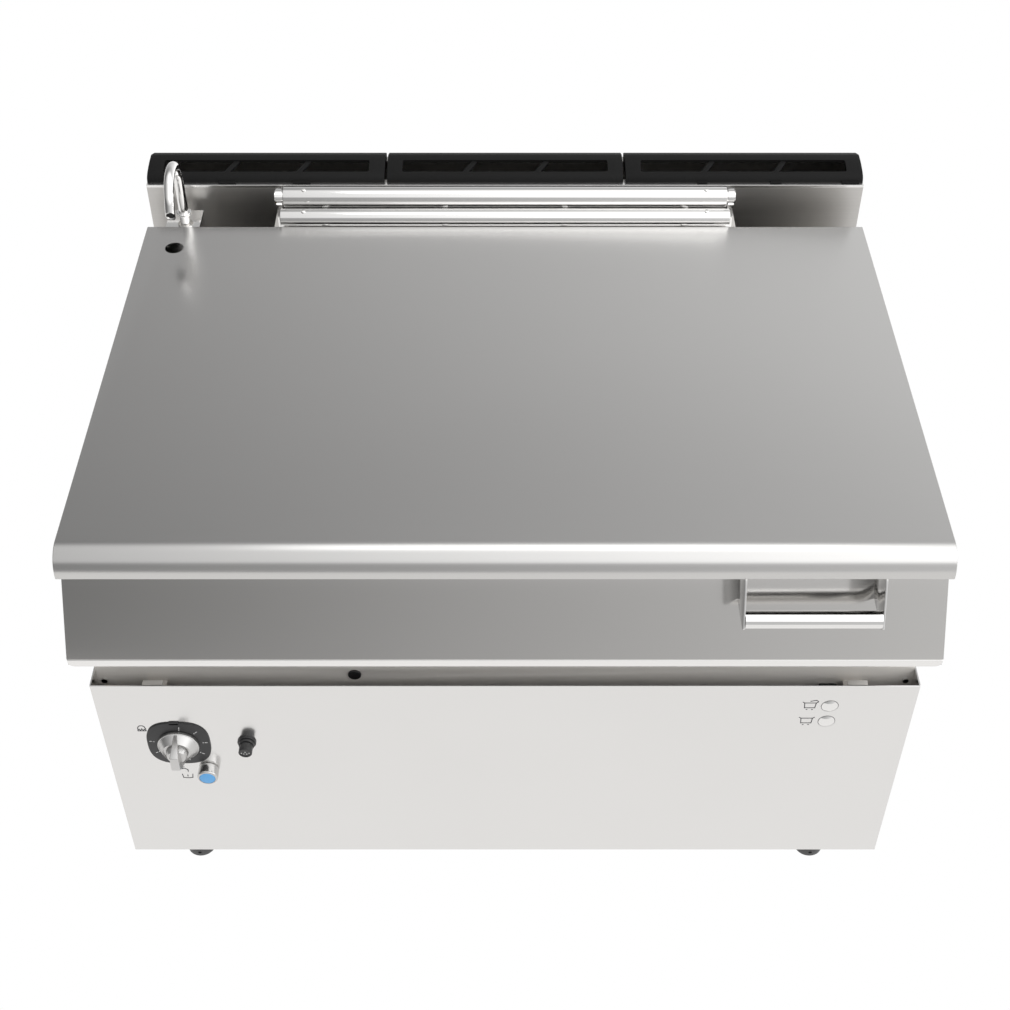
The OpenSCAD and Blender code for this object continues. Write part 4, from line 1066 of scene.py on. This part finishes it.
class BRATTPAN_OT_studio(bpy.types.Operator):
    """Build the white studio: floor, world, lamp and the photograph's camera"""

    bl_idname = "brattpan.studio"
    bl_label = "Studio"

    def execute(self, context):
        settings = context.scene.studio_settings
        self.floor(settings)
        self.world(context.scene, settings)
        bpy.ops.object.light_add(type="AREA", location=(0.3, -0.2, 3.4), rotation=(0, 0, 0))
        key = context.object
        key.name = "key_lamp"
        key.data.shape = "RECTANGLE"
        key.data.size, key.data.size_y = 2.6, 1.2
        key.data.energy = settings.key_power
        flat_edge = low("lid_skin").y + LIP_RADIUS
        bpy.ops.object.camera_add(
            rotation=(math.radians(90 - CAMERA_PITCH), 0, 0),
            location=(0, flat_edge - CAMERA_BACK, high("lid_skin").z + CAMERA_UP))
        camera = context.object
        camera.name = "photo_camera"
        camera.data.sensor_width = SENSOR
        camera.data.lens = FOCAL_PIXELS / PHOTO_PIXELS * SENSOR
        context.scene.camera = camera
        context.scene.view_settings.view_transform = "Standard"
        return {"FINISHED"}

    def floor(self, settings):
        """Floor that glows on the object and is plain white to the camera."""
        deselect()
        bpy.ops.mesh.primitive_plane_add(size=5, location=(0, 0, 0))
        ground = named("studio_floor")
        mat = bpy.data.materials.new("studio_floor")
        mat.use_nodes = True
        tree = mat.node_tree
        tree.nodes.clear()
        glow = linked(tree, "Emission", {"Color": (*settings.floor_colour, 1),
                                         "Strength": settings.floor_light})
        linked(tree, "OutputMaterial", Surface=seen_white(tree, "Emission", glow))
        ground.data.materials.append(mat)

    def world(self, scene, settings):
        """Bands of light that turn about X and grow brighter to the right."""
        world = bpy.data.worlds.new("studio_world")
        scene.world = world
        world.use_nodes = True
        tree = world.node_tree
        tree.nodes.clear()
        way = linked(tree, "TexCoord").outputs["Generated"]
        split = linked(tree, "SeparateXYZ", _0=way).outputs
        ahead = worked_out(tree, "MULTIPLY", split["Y"], -1.0)
        turn = worked_out(tree, "ARCTAN2", split["Z"], ahead)
        ramp = linked(tree, "MapRange", {"From Min": -math.pi, "From Max": math.pi}, _0=turn)
        bands = linked(tree, "ValToRGB", _0=ramp.outputs[0])
        stops = bands.color_ramp.elements
        while len(stops) < len(LIGHT_LEVELS):
            stops.new(0.5)
        for stop, (at, level) in zip(stops, LIGHT_LEVELS):
            stop.position = at
            stop.color = (level, level, level, 1)
        side = linked(tree, "MapRange", {
            "From Min": -1.0, "From Max": 1.0, "To Min": 1 - settings.side_light,
            "To Max": 1 + settings.side_light}, _0=split["X"])
        studio = linked(tree, "VectorMath", {"operation": "SCALE"}, _0=bands.outputs["Color"],
                        Scale=side.outputs[0])
        light = linked(tree, "Background", {"Strength": settings.ambient},
                       Color=studio.outputs[0])
        linked(tree, "OutputWorld", Surface=seen_white(tree, "Background", light))


SETTINGS = (("pan_sizes", PanSizes), ("control_sizes", ControlSizes),
            ("studio_settings", StudioSettings))
OPERATORS = (
    BRATTPAN_OT_lid, BRATTPAN_OT_handle, BRATTPAN_OT_apron, BRATTPAN_OT_grilles,
    BRATTPAN_OT_hinge, BRATTPAN_OT_spout, BRATTPAN_OT_knob, BRATTPAN_OT_buttons,
    BRATTPAN_OT_panels, BRATTPAN_OT_flue_trim, BRATTPAN_OT_legs, BRATTPAN_OT_signs,
    BRATTPAN_OT_dress, BRATTPAN_OT_studio,
)


class BRATTPAN_PT_panel(bpy.types.Panel):
    """Sizes, studio settings and the steps that build the scene."""

    bl_idname = "BRATTPAN_PT_panel"
    bl_label = "Tilting Bratt Pan"
    bl_space_type = "VIEW_3D"
    bl_region_type = "UI"
    bl_category = "Bratt Pan"

    def draw(self, context):
        layout = self.layout
        for name, cls in SETTINGS:
            box = layout.box()
            box.label(text=name.replace("_", " ").capitalize())
            for key in cls.__annotations__:
                box.prop(getattr(context.scene, name), key)
        for operator in OPERATORS:
            layout.operator(operator.bl_idname)


def register():
    for name, cls in SETTINGS:
        bpy.utils.register_class(cls)
        setattr(bpy.types.Scene, name, bpy.props.PointerProperty(type=cls))
    for cls in (*OPERATORS, BRATTPAN_PT_panel):
        bpy.utils.register_class(cls)


def unregister():
    for cls in reversed((*OPERATORS, BRATTPAN_PT_panel)):
        bpy.utils.unregister_class(cls)
    for name, cls in reversed(SETTINGS):
        delattr(bpy.types.Scene, name)
        bpy.utils.unregister_class(cls)


def main():
    register()
    make_finishes()
    bpy.ops.brattpan.lid()
    bpy.ops.brattpan.handle()
    bpy.ops.brattpan.apron()
    bpy.ops.brattpan.grilles()
    bpy.ops.brattpan.hinge()
    bpy.ops.brattpan.spout()
    bpy.ops.brattpan.knob()
    bpy.ops.brattpan.buttons()
    bpy.ops.brattpan.panels()
    bpy.ops.brattpan.flue_trim()
    bpy.ops.brattpan.legs()
    bpy.ops.brattpan.signs()
    bpy.ops.brattpan.dress()
    bpy.ops.brattpan.studio()


if __name__ == "__main__":
    main()
